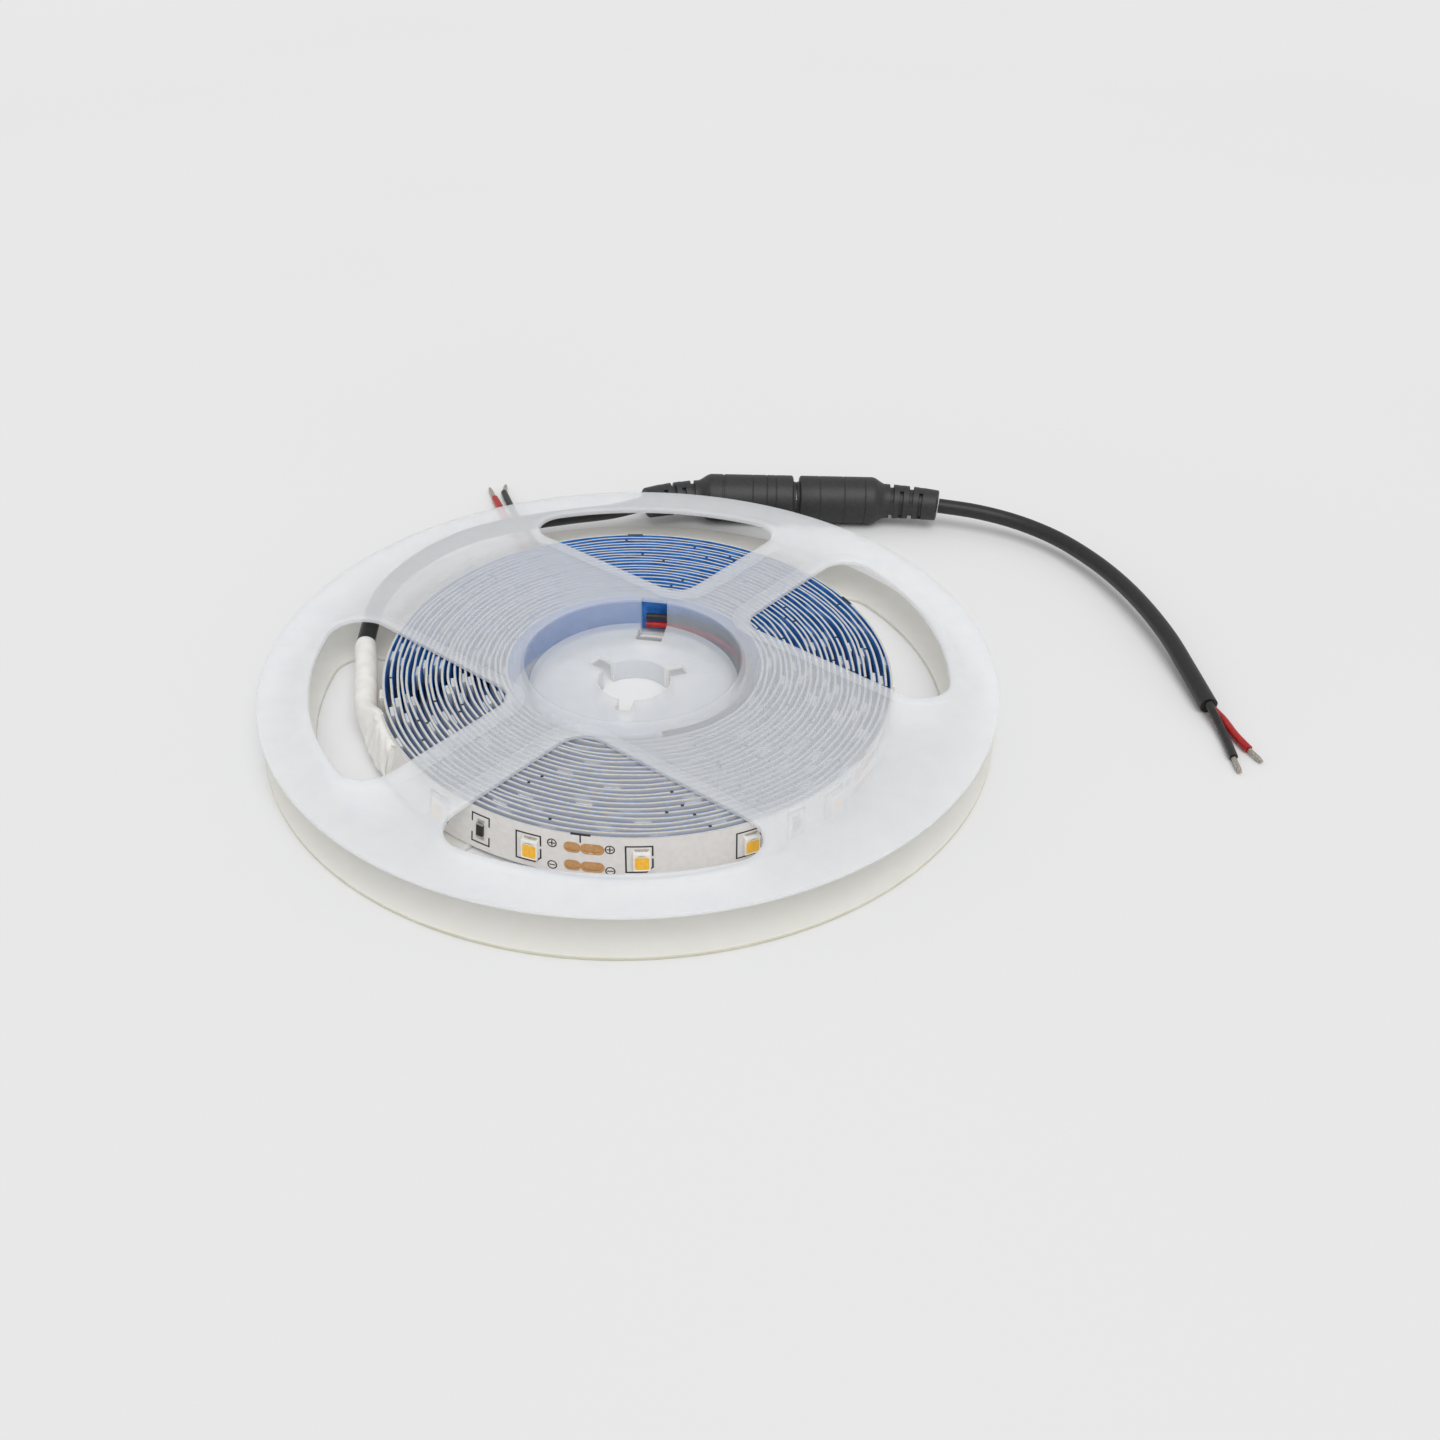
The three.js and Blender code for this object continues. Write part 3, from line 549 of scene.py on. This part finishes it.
# Connector halves
def shell_profile(length, lines):
    """(way, radius) pairs from the dark neck in the slit, over the ring lines, to the strain relief."""
    p = [(-NECK_L, SHELL_R - 1.5), (-0.05, SHELL_R - 1.4), (0, SHELL_R - SHELL_EDGE),
         (0.12, SHELL_R - 0.22), (0.3, SHELL_R - 0.06), (SHELL_EDGE, SHELL_R)]
    for at, width, depth in lines:
        p += [(at, SHELL_R), (at + 0.12, SHELL_R - depth)]
        p += [(at + width - 0.12, SHELL_R - depth), (at + width, SHELL_R)]
    p += [(length - 0.4, SHELL_R), (length, SHELL_R - 0.06)]
    for f in (0.2, 0.4, 0.6, 0.8):
        fall = 0.6 * smooth(f) + 0.4 * f
        p.append((length + SHOULDER_L * f, SHELL_R - 0.06 - (SHELL_R - RELIEF_R - 0.1) * fall))
    return p + [(length + SHOULDER_L, RELIEF_R)]


def relief_radius(past):
    return RELIEF_R + (RELIEF_TIP_R - RELIEF_R) * past / RELIEF_L


def bridge(bm, line, s, top, middle):
    """A small tie across the groove at a way s, centred on the angle middle round the relief."""
    low = top - 0.9
    loops = []
    for way in (s - 0.05, s + GROOVE_W + 0.05):
        place, heading = bent(way, **line)
        across = Vector((-heading[1], heading[0], 0)).normalized()
        loop = []
        for r, off in ((top, -0.42), (top, -0.14), (top, 0.14), (top, 0.42), (low, 0.42), (low, -0.42)):
            x, y = r * math.cos(middle + off), r * math.sin(middle + off)
            loop.append(bm.verts.new((Vector(place) + across * x + Vector((0, 0, y))) * MM))
        loops.append(loop)
    tube(bm, loops)


def connector(name, length, lines, line, node, first_groove):
    start = length + SHOULDER_L
    end = start + RELIEF_L
    grooves = [start + first_groove + GROOVE_PITCH * g for g in range(GROOVE_COUNT)]
    profile = shell_profile(length, lines)
    for s in grooves:
        top = relief_radius(s - start)
        floor = top - GROOVE_DEPTH
        profile += [(s, top), (s + 0.1, floor), (s + GROOVE_W - 0.1, floor), (s + GROOVE_W, top)]
    top = relief_radius(RELIEF_L)
    profile += [(end - 0.25, top), (end - 0.08, top - 0.12), (end, top - 0.3)]
    bm = loft_mesh([ring_along(*bent(s, **line), r, r, 2, RING_SIDES) for s, r in profile])
    # Two bridges opposite each other tie each groove's walls, a quarter turn further on every second groove
    for g, s in enumerate(grooves):
        quarter = 0.5 * math.pi * (g % 2)
        for middle in (quarter, quarter + math.pi):
            bridge(bm, line, s, relief_radius(s - start) - 0.04, middle)
    return to_object(name, bm, [MOULD], 28, (node,))


JACK_LINES = ((4.0, 0.35, 0.12), (6.2, 0.35, 0.12), (9.6, 0.3, 0.1), (16.4, 0.6, 0.14))
PLUG_LINES = ((4.6, 0.35, 0.1), (10.4, 0.35, 0.1), (15.4, 0.3, 0.1))
jack = connector("jack_half", JACK_SHELL_L, JACK_LINES, JACK, "jack_shell", 1.1)
plug = connector("plug_half", PLUG_SHELL_L, PLUG_LINES, PLUG, "plug_shell", 1.4)
for node in ("jack_pin", "plug_barrel"):
    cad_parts[node].data.materials.clear()
    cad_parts[node].data.materials.append(PLATED)

for ob in (lead, pigtail, wire_b, wire_r, tail_b, tail_r, tip_b, tip_r, tip_tb, tip_tr, jack, plug):
    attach(ob, "root")


# Reel halves
def window(grow, sx, sy):
    """Outline of the window in one quarter between the bars, grown outward, as (x, y) points."""
    along, across = WIDE_SPAR / 2 - grow, NARROW_SPAR / 2 - grow * NARROW_BORDER
    outer, apex, corner = WINDOW_R + grow, APEX_ROUND + grow, CORNER_ROUND + grow
    inset = outer - corner
    far_a = math.sqrt(inset ** 2 - (across + corner) ** 2)
    far_c = math.sqrt(inset ** 2 - (along + corner) ** 2)
    low, high = math.atan2(across + corner, far_a), math.atan2(far_c, along + corner)
    pts = arc(along + apex, across + apex, apex, math.pi, 1.5 * math.pi, CORNER_STEPS)
    pts += arc(far_a, across + corner, corner, -0.5 * math.pi, low, CORNER_STEPS)
    pts += arc(0, 0, outer, low, high, ARC_STEPS)[1:-1]
    pts += arc(along + corner, far_c, corner, high, math.pi, CORNER_STEPS)
    c, s = math.cos(math.radians(SPAR_TURN)), math.sin(math.radians(SPAR_TURN))
    return [(x * sx * c - y * sy * s, x * sx * s + y * sy * c) for x, y in pts]


def half_mesh(rim, edge, hub):
    """A windowed half: rim and hub are (radius, height) profiles, edge is the windows' (growth, height)."""
    bm = bmesh.new()

    def ring(points, z):
        return [bm.verts.new((x * MM, y * MM, z * MM)) for x, y in points]

    parts = [[ring(circle(r, RIM_SIDES), z) for r, z in rim]]
    for sx, sy in ((1, 1), (-1, 1), (-1, -1), (1, -1)):
        parts.append([ring(window(grow, sx, sy), z) for grow, z in edge])
    parts.append([ring(circle(r, HUB_SIDES), z) for r, z in hub])
    for loops in parts:
        for a, b in zip(loops, loops[1:]):
            join(bm, a, b)
    for end in (0, -1):
        ends = [loops[end] for loops in parts]
        edges = [bm.edges.get((a, b)) for lp in ends for a, b in zip(lp, lp[1:] + lp[:1])]
        bmesh.ops.triangle_fill(bm, use_beauty=True, edges=edges, normal=(0, 0, 1))
    return bm


def farthest(f):
    """Distance of a face's farthest corner from the axis."""
    return max(math.hypot(v.co.x, v.co.y) for v in f.verts) / MM


def upper():
    brim = UPPER_TOP + BORDER_H
    bm = half_mesh(
        [(REEL_R - 0.35, UPPER_TOP), (REEL_R - 0.1, UPPER_TOP - 0.08), (REEL_R, UPPER_TOP - 0.28),
         (REEL_R, UPPER_Z + 0.2), (REEL_R - 0.06, UPPER_Z + 0.06), (REEL_R - 0.2, UPPER_Z)],
        [(BORDER_W, UPPER_TOP), (BORDER_W - 0.3, UPPER_TOP + 0.05), (BORDER_W - 0.7, UPPER_TOP + 0.14),
         (BORDER_W - 1.1, UPPER_TOP + 0.24), (BORDER_W - 1.5, brim), (0.5, brim), (0.2, brim - 0.06),
         (0.04, brim - 0.2), (0, UPPER_TOP), (0, UPPER_Z + 0.15), (0.12, UPPER_Z)],
        [(HUB_R + 0.35, UPPER_TOP), (HUB_R + 0.1, UPPER_TOP - 0.1), (HUB_R, UPPER_TOP - 0.35),
         (HUB_R, PLATE_T + 0.2), (HUB_R + 0.2, PLATE_T), (HUB_OUTER_R - 0.2, PLATE_T),
         (HUB_OUTER_R, PLATE_T + 0.2), (HUB_OUTER_R, UPPER_Z)])
    mats = [REEL, WALL, BORDER]
    for f in bm.faces:
        if farthest(f) < HUB_OUTER_R + 0.01:
            f.material_index = mats.index(WALL)
        elif f.calc_center_median().z > (UPPER_TOP + 0.02) * MM:
            f.material_index = mats.index(BORDER)
    ob = to_object("upper_reel_half", bm, mats, replaces=("upper_half",))
    return carve(ob, [block("slot_cut", HUB_R - 2, HUB_OUTER_R + 0.05, SLOT_W, SLOT_FLOOR,
                            UPPER_TOP + 1 - SLOT_FLOOR, SLOT_TURN)])


def lower():
    bm = half_mesh(
        [(REEL_R - 0.2, PLATE_T), (REEL_R - 0.06, PLATE_T - 0.06), (REEL_R, PLATE_T - 0.2),
         (REEL_R, 0.28), (REEL_R - 0.1, 0.08), (REEL_R - 0.35, 0)],
        [(0.12, PLATE_T), (0, PLATE_T - 0.12), (0, 0.03), (0.03, 0)],
        [(SKIRT_R, PLATE_T), (SKIRT_R, WEB_TOP - 0.3), (SKIRT_R - 0.1, WEB_TOP - 0.08),
         (SKIRT_R - 0.3, WEB_TOP), (SPINDLE_R + 0.3, WEB_TOP), (SPINDLE_R + 0.08, WEB_TOP - 0.08),
         (SPINDLE_R, WEB_TOP - 0.3),
         (SPINDLE_R, 0.15), (SPINDLE_R + 0.15, 0), (SPINDLE_R + SPINDLE_WALL - 0.15, 0),
         (SPINDLE_R + SPINDLE_WALL, 0.15), (SPINDLE_R + SPINDLE_WALL, WEB_TOP - WEB_T),
         (SKIRT_INNER_R, WEB_TOP - WEB_T), (SKIRT_INNER_R, 0)])
    mats = [LOWER, WALL, RIM_SHADE, WEB]
    for f in bm.faces:
        c = f.calc_center_median() / MM
        r = math.hypot(c.x, c.y)
        inside = farthest(f) < SKIRT_R + 0.01
        if inside and r > SKIRT_INNER_R - 0.01:
            f.material_index = mats.index(WALL)
        # The rim's outer side and underside take the darker colour of painted shade
        elif r > REEL_R - 0.16 and c.z < PLATE_T - 0.04:
            f.material_index = mats.index(RIM_SHADE)
        elif inside:
            f.material_index = mats.index(WEB)
    ob = to_object("lower_reel_half", bm, mats, replaces=("lower_half",))
    cuts = []
    for i in range(KEY_COUNT):
        turn = KEY_TURN + 360 * i / KEY_COUNT
        cuts.append(block(f"key_cut_{i}", SPINDLE_R / 2, KEY_R, KEY_W, -1, WEB_TOP + 2, turn))
    cuts.append(block("web_slot_cut", WEB_SLOT_R, HUB_R + 1, SLOT_W, SLOT_FLOOR,
                      WEB_TOP + 1 - SLOT_FLOOR, SLOT_TURN))
    return carve(ob, cuts)


upper_reel = upper()
lower_reel = lower()


# The wound strip
def wound_strip():
    bm = bmesh.new()
    section = ((0, 0), (-BOARD_T, 0), (-STRIP_T, 0), (-STRIP_T, STRIP_W), (-BOARD_T, STRIP_W), (0, STRIP_W))
    mats = [FACE, EDGE, BACK]
    kinds = [mats.index(mat) for mat in (EDGE, BACK, BACK, EDGE, EDGE, FACE)]
    loops = []
    for s in [SLEEVED_END, *WAY[WAY >= SLEEVED_END]]:
        loops.append([bm.verts.new(Vector(on_strip(s, depth, drop)) * MM) for depth, drop in section])
    n = len(section)
    for a, b in zip(loops, loops[1:]):
        for k in range(n):
            bm.faces.new((a[k], a[(k + 1) % n], b[(k + 1) % n], b[k])).material_index = kinds[k]
    for lp in (loops[0], loops[-1]):
        bm.faces.new(lp).material_index = mats.index(EDGE)
    return to_object("wound_strip", bm, mats, 40, ("strip_roll",))


strip = wound_strip()


# What stands or is drawn on the strip's face, placed by (way, drop) pairs
def on_face(bm, points, out, s=0, drop=0):
    """Corners at one distance out from the face, counted from a way s and a drop."""
    return [bm.verts.new(Vector(on_strip(s + x, out, drop + y)) * MM) for x, y in points]


def stamp(bm, points, out):
    bm.faces.new(on_face(bm, points, out))


def line_mark(bm, points, width, out=INK_OUT):
    """A drawn line through the points, cut into short pieces that follow the curve."""
    e = width / 2
    for (s0, d0), (s1, d1) in zip(points, points[1:]):
        length = math.hypot(s1 - s0, d1 - d0)
        ux, uy = (s1 - s0) / length, (d1 - d0) / length
        n = max(1, int(abs(s1 - s0) / 0.8))
        for i in range(n):
            a, b = i / n, (i + 1) / n
            back = e if i == 0 else 0
            on = e if i == n - 1 else 0
            p = (s0 + (s1 - s0) * a - ux * back, d0 + (d1 - d0) * a - uy * back)
            q = (s0 + (s1 - s0) * b + ux * on, d0 + (d1 - d0) * b + uy * on)
            stamp(bm, [(p[0] - uy * e, p[1] + ux * e), (q[0] - uy * e, q[1] + ux * e),
                       (q[0] + uy * e, q[1] - ux * e), (p[0] + uy * e, p[1] - ux * e)], out)


def add_box(bm, s, drop, size, mat, taper):
    """A small block on the face, narrower at its top: size is along, down and out."""
    w, h, t = size
    verts = []
    for out, k in ((0, 1), (t, 1 - taper)):
        corners = [(x * w / 2 * k, y * h / 2 * k) for x, y in ((-1, -1), (1, -1), (1, 1), (-1, 1))]
        verts += on_face(bm, corners, out, s, drop)
    for f in [(0, 1, 2, 3), (7, 6, 5, 4)] + [(i, (i + 1) % 4, 4 + (i + 1) % 4, 4 + i) for i in range(4)]:
        bm.faces.new([verts[i] for i in f]).material_index = mat


def rounded(cx, cy, w, h, r, n):
    """A rectangle with round corners of n steps each."""
    pts = []
    for k, (qx, qy) in enumerate(((1, 1), (-1, 1), (-1, -1), (1, -1))):
        pts += arc(cx + qx * (w / 2 - r), cy + qy * (h / 2 - r), r, k * math.pi / 2, (k + 1) * math.pi / 2, n)
    return pts


def lamp(bm, s, drop):
    """A lamp package: white frame with a sunk window full of phosphor, silver feet above and below."""
    base = rounded(0, 0, LAMP_W, LAMP_L, LAMP_ROUND, 3)
    rims = [(base, 0), (base, LAMP_H - 0.12),
            (rounded(0, 0, LAMP_W - 0.14, LAMP_L - 0.14, LAMP_ROUND, 3), LAMP_H),
            (rounded(0, LENS_DROP, LENS_W, LENS_L, 0.3, 3), LAMP_H),
            (rounded(0, LENS_DROP, LENS_W - 0.12, LENS_L - 0.12, 0.28, 3), LAMP_H - 0.07)]
    loops = [on_face(bm, points, out, s, drop) for points, out in rims]
    for a, b in zip(loops, loops[1:]):
        join(bm, a, b)
    window_edge = loops[-1]
    dome = bm.verts.new(Vector(on_strip(s, LAMP_H - 0.02, drop + LENS_DROP)) * MM)
    for a, b in zip(window_edge, window_edge[1:] + window_edge[:1]):
        bm.faces.new((a, b, dome)).material_index = 1
    bm.faces.new(loops[0][::-1])
    for sign in (-1, 1):
        add_box(bm, s, drop + sign * (LAMP_L / 2 + 0.16), (2.3, 0.42, 0.22), 2, 0.25)
    # The silver crescent in the frame above the window
    sweep = np.linspace(0, math.pi, 11)
    crescent = [(2 * a / math.pi - 1, -1.18 - 0.22 * math.sin(a)) for a in sweep]
    crescent += [(1 - 2 * a / math.pi, -1.18 - 0.02 * math.sin(a)) for a in sweep[1:-1]]
    bm.faces.new(on_face(bm, crescent, LAMP_H + 0.012, s, drop)).material_index = 2


# Ways along the strip of the outer turn's lamps and resistors, as in the solids, and of its cut lines
chord_way = [0.0]
turned = 0.0
while turned < 352:
    turned += math.degrees(CHORD / float(roll_radius(turned)))
    chord_way.append(float(np.interp(turned, TURNS, WAY)))
chord_way.append(chord_way[-1] + CHORD)
chords = range(1, len(chord_way) - 1)
lamp_ways = [(chord_way[c] + chord_way[c + 1]) / 2 for c in chords if c % 3 == 1]
resistor_ways = [chord_way[c] for c in chords if c % 9 == 6]
cut_ways = [chord_way[c] - CUT_SHIFT for c in chords if c % 9 == 0]


def nodes_named(start):
    return sorted(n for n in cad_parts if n.startswith(start))


def outer_lamps():
    bm = bmesh.new()
    for s in lamp_ways:
        lamp(bm, s, MID + LAMP_SHIFT)
    return to_object("outer_lamps", bm, [BODY, GLOW, SOLDER], 30, nodes_named("lamp_"))


def outer_resistors():
    """Black bodies with silver end caps and their solder."""
    bm = bmesh.new()
    for way in resistor_ways:
        s = way - CHIP_SHIFT
        add_box(bm, s, MID, (CHIP_W, CHIP_L, CHIP_H), 0, 0.03)
        for sign in (-1, 1):
            add_box(bm, s, MID + sign * 1.22, (CHIP_W + 0.02, 0.36, CHIP_H), 1, 0.05)
            add_box(bm, s, MID + sign * 1.65, (CHIP_W + 0.2, 0.6, 0.2), 1, 0.35)
    return to_object("outer_resistors", bm, [CHIP, SOLDER], 30, nodes_named("resistor_"))


def inner_lamps():
    """Plain lamps on the inner turns. Where the turns lie close, their tops sink into the next turn."""
    bm = bmesh.new()
    for s in np.arange(lamp_ways[-1] + LAMP_PITCH, WAY[-1] - 8, LAMP_PITCH):
        add_box(bm, s, MID - INNER_LAMP_RISE, (LAMP_W, LAMP_L, INNER_LAMP_H), 0, 0.04)
    return to_object("inner_lamps", bm, [BODY], 30)


def lamp_frame(bm, s):
    """Printed line round a lamp, with a cut corner and a gap in its right side."""
    left, right, top, foot = s - 2.2, s + 2.2, MID - 2.4, MID + 2.85
    outline = [(right, top), (left, top), (left, foot), (s + 1.1, foot)]
    outline += [(right, foot - 1), (right, MID + 0.2)]
    line_mark(bm, outline, LINE_W)
    line_mark(bm, [(right, top), (right, MID - 0.6)], LINE_W)


def resistor_brackets(bm, s):
    for sign in (-1, 1):
        near, far = MID + sign * 1.2, MID + sign * 2.75
        line_mark(bm, [(s - 1.75, near), (s - 1.75, far), (s + 1.75, far), (s + 1.75, near)], LINE_W)


def pad(pads, bows, s, drop, length):
    """One lobe of a solder pad, with a darker bow drawn on it."""
    stamp(pads, rounded(s, drop, length, PAD_H, 1.0, 8), PAD_OUT)
    sweep = np.linspace(0.35, math.pi - 0.35, 10)
    bow = [(s + 0.36 * length * math.cos(t), drop + 0.05 + 0.55 * math.sin(t)) for t in sweep]
    line_mark(bows, bow, BOW_LINE, BOW_OUT)


def sign_mark(bm, s, drop, plus):
    """A ringed plus or minus."""
    sweep = np.linspace(0, 2 * math.pi, 25)
    line_mark(bm, [(s + SIGN_R * math.cos(t), drop + SIGN_R * math.sin(t)) for t in sweep], SIGN_LINE)
    line_mark(bm, [(s - SIGN_ARM, drop), (s + SIGN_ARM, drop)], SIGN_LINE)
    if plus:
        line_mark(bm, [(s, drop - SIGN_ARM), (s, drop + SIGN_ARM)], SIGN_LINE)


def printed_pieces():
    """Frames, brackets, cut lines and signs in ink, the copper pads, and the bows on them."""
    marks, pads, bows = bmesh.new(), bmesh.new(), bmesh.new()
    for way in lamp_ways:
        lamp_frame(marks, way - FRAME_SHIFT)
    for way in resistor_ways:
        resistor_brackets(marks, way - BRACKET_SHIFT)
    for s in cut_ways:
        line_mark(marks, [(s, 0.1), (s, 1.3)], CUT_LINE)
        for pad_drop, sign_drop, plus in PAD_ROWS:
            for middle, length in PAD_LOBES:
                pad(pads, bows, s + middle, pad_drop, length)
            for middle in (-SIGN_AT, SIGN_AT):
                sign_mark(marks, s + middle, sign_drop, plus)
    return [to_object(name, bm, [mat], 60) for name, bm, mat in (
        ("strip_marks", marks, INK), ("strip_pads", pads, COPPER), ("pad_bows", bows, BOW))]


def dark_edges():
    """Small dark cut marks on the turns' upper edges, wider near the outer end."""
    bm = bmesh.new()
    for s in np.arange(cut_ways[0], WAY[-1] - 5, CHORD * 9):
        wide, parts = (3.4, 6) if s < WAY[-1] * 0.05 else (0.55, 1)
        for i in range(parts):
            a = s + wide * (i / parts - 0.5)
            b = s + wide * ((i + 1) / parts - 0.5)
            corners = []
            for depth, way in ((0.03, a), (0.03, b), (-STRIP_T, b), (-STRIP_T, a)):
                x, y = line_at(way)
                grow = 1 + depth / math.hypot(x, y)
                corners.append(bm.verts.new((x * grow * MM, y * grow * MM, (STRIP_TOP + 0.012) * MM)))
            bm.faces.new(corners)
    return to_object("edge_marks", bm, [INK], 60)


on_the_strip = [outer_lamps(), outer_resistors(), inner_lamps(), *printed_pieces(), dark_edges()]


# Sleeve over the strip's end
def shrink_sleeve():
    """A thin film tube: flat over the strip's end, then round, and a little tighter at the lead."""
    rings = []
    steps, sides = 60, 40
    line, _ = route(SLEEVE_ROUTE, steps + 1)
    for i in range(steps + 1):
        share = i / steps
        rnd = smooth((share - 0.04) / 0.26)
        tight = 1.0 - 0.07 * max(0.0, share - 0.97) / 0.03
        wide = (SLEEVE_FLAT + (ROUND_R - SLEEVE_FLAT) * rnd) * tight
        tall = (SLEEVE_TALL + (ROUND_R - SLEEVE_TALL) * rnd) * tight
        a, b = line[max(0, i - 1)], line[min(steps, i + 1)]
        h = (b - a) / np.linalg.norm(b - a)
        c = Vector(line[i])
        tilt = Matrix.Rotation(start_lean * (1 - rnd), 3, Vector(h))
        ring = []
        for p in ring_along(line[i], h, wide, tall, 4 - 2 * rnd, sides):
            d = tilt @ (p - c)
            dents = noise.noise((d.x * 0.5 + share * 9, d.y * 0.5, d.z * 0.35)) * 0.1
            folds = noise.noise((share * 26, d.z * 0.9, 3.1)) * 0.06 * (1 - abs(2 * share - 0.9))
            ring.append(c + d * (1 + (dents + folds) * 0.6))
        rings.append(ring)
    return to_object("shrink_sleeve", loft_mesh(rings), [SLEEVE], 60, ("sleeve",))


def sleeve_mouth():
    """The sleeve's creased and ragged end, drawn flat over the strip's end and its first lamp."""
    rings = []
    steps, sides = 34, 36
    for i in range(steps + 1):
        share = i / steps
        s = SLEEVED_END - MOUTH_START + share * MOUTH_L
        ring = []
        for j in range(sides):
            c, d = math.cos(2 * math.pi * j / sides), math.sin(2 * math.pi * j / sides)
            out = 0.32 + bulge(c, 0.6) * (0.98 if c > 0 else 1.0) * (1 - 0.12 * share)
            drop = MID + bulge(d, 0.45) * (MID - 0.12 - 0.25 * share)
            crease = noise.noise((share * 7, d * 2.2, c * 0.8)) * 0.34
            crease += noise.noise((share * 19, d * 4.5, 5.0)) * 0.16
            ragged = noise.noise((d * 3.1, c * 2.0, 8.0)) * 1.1 * max(0, share - 0.75) * 4
            x, y, z = on_strip(max(0.05, s + ragged), out + (crease if c > -0.2 else 0), drop)
            ring.append(Vector((x, y, min(z, UPPER_Z - 0.03))))
        rings.append(ring)
    return to_object("sleeve_mouth", loft_mesh(rings), [SLEEVE], 50)


sleeve = shrink_sleeve()
mouth = sleeve_mouth()


# The two wires of the inner end, round the hub from its slot
def hub_wire(name, low, high, mat, node):
    r = HUB_OUTER_R + WIRE_SPACE / 2 - STRIP_T / 2
    pts = [polar(r, SLOT_TURN + 5 - i * 10, low + (high - low) * i / 16) for i in range(17)]
    ob, _, _ = cord_curve(name, pts, HUB_WIRE_R, mat, node, 90)
    return ob


hub_red = hub_wire("hub_red", 3, 5.8, RED, "hub_red_wire")
hub_black = hub_wire("hub_black", 4.9, 7.7, BLACK, "hub_black_wire")
for ob in (upper_reel, lower_reel, strip, *on_the_strip, sleeve, mouth, hub_red, hub_black):
    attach(ob, "root")


# Floor and light
FLOOR_HALF, FLOOR_Z = 6.0, -0.00005
LIGHT_STRENGTH, SEEN_STRENGTH, SUN_STRENGTH, SUN_ANGLE = 0.62, 0.8, 1.5, 45


def make_floor():
    mesh = bpy.data.meshes.new("floor")
    corners = [(x * FLOOR_HALF, y * FLOOR_HALF, FLOOR_Z) for x, y in ((-1, -1), (1, -1), (1, 1), (-1, 1))]
    mesh.from_pydata(corners, [], [(0, 1, 2, 3)])
    ob = bpy.data.objects.new("floor", mesh)
    scene.collection.objects.link(ob)
    made, tree, shader = material("floor_pale")
    add_colours(tree, shader, grain(tree, 3, 2.0), rgb(229, 229, 229), rgb(231, 231, 231))
    shader.inputs["Roughness"].default_value = 0.9
    shader.inputs["Specular IOR Level"].default_value = 0.0
    mesh.materials.append(made)


def make_light():
    """A white world, dimmer as light than as the camera sees it, and one wide sun."""
    world = bpy.data.worlds.new("world")
    scene.world = world
    world.use_nodes = True
    tree = world.node_tree
    light = tree.nodes["Background"]
    seen = tree.nodes.new("ShaderNodeBackground")
    for node, strength in ((light, LIGHT_STRENGTH), (seen, SEEN_STRENGTH)):
        node.inputs["Color"].default_value = (1, 1, 1, 1)
        node.inputs["Strength"].default_value = strength
    rays = tree.nodes.new("ShaderNodeLightPath")
    pick = tree.nodes.new("ShaderNodeMixShader")
    tree.links.new(rays.outputs["Is Camera Ray"], pick.inputs[0])
    tree.links.new(light.outputs["Background"], pick.inputs[1])
    tree.links.new(seen.outputs["Background"], pick.inputs[2])
    tree.links.new(pick.outputs["Shader"], tree.nodes["World Output"].inputs["Surface"])
    sun_data = bpy.data.lights.new("sun", "SUN")
    sun_data.energy = SUN_STRENGTH
    sun_data.angle = math.radians(SUN_ANGLE)
    sun = bpy.data.objects.new("sun", sun_data)
    scene.collection.objects.link(sun)
    sun.rotation_euler = Vector((-0.12, 0.65, -1.0)).to_track_quat("-Z", "Y").to_euler()


make_floor()
make_light()
scene.view_settings.view_transform = "Standard"
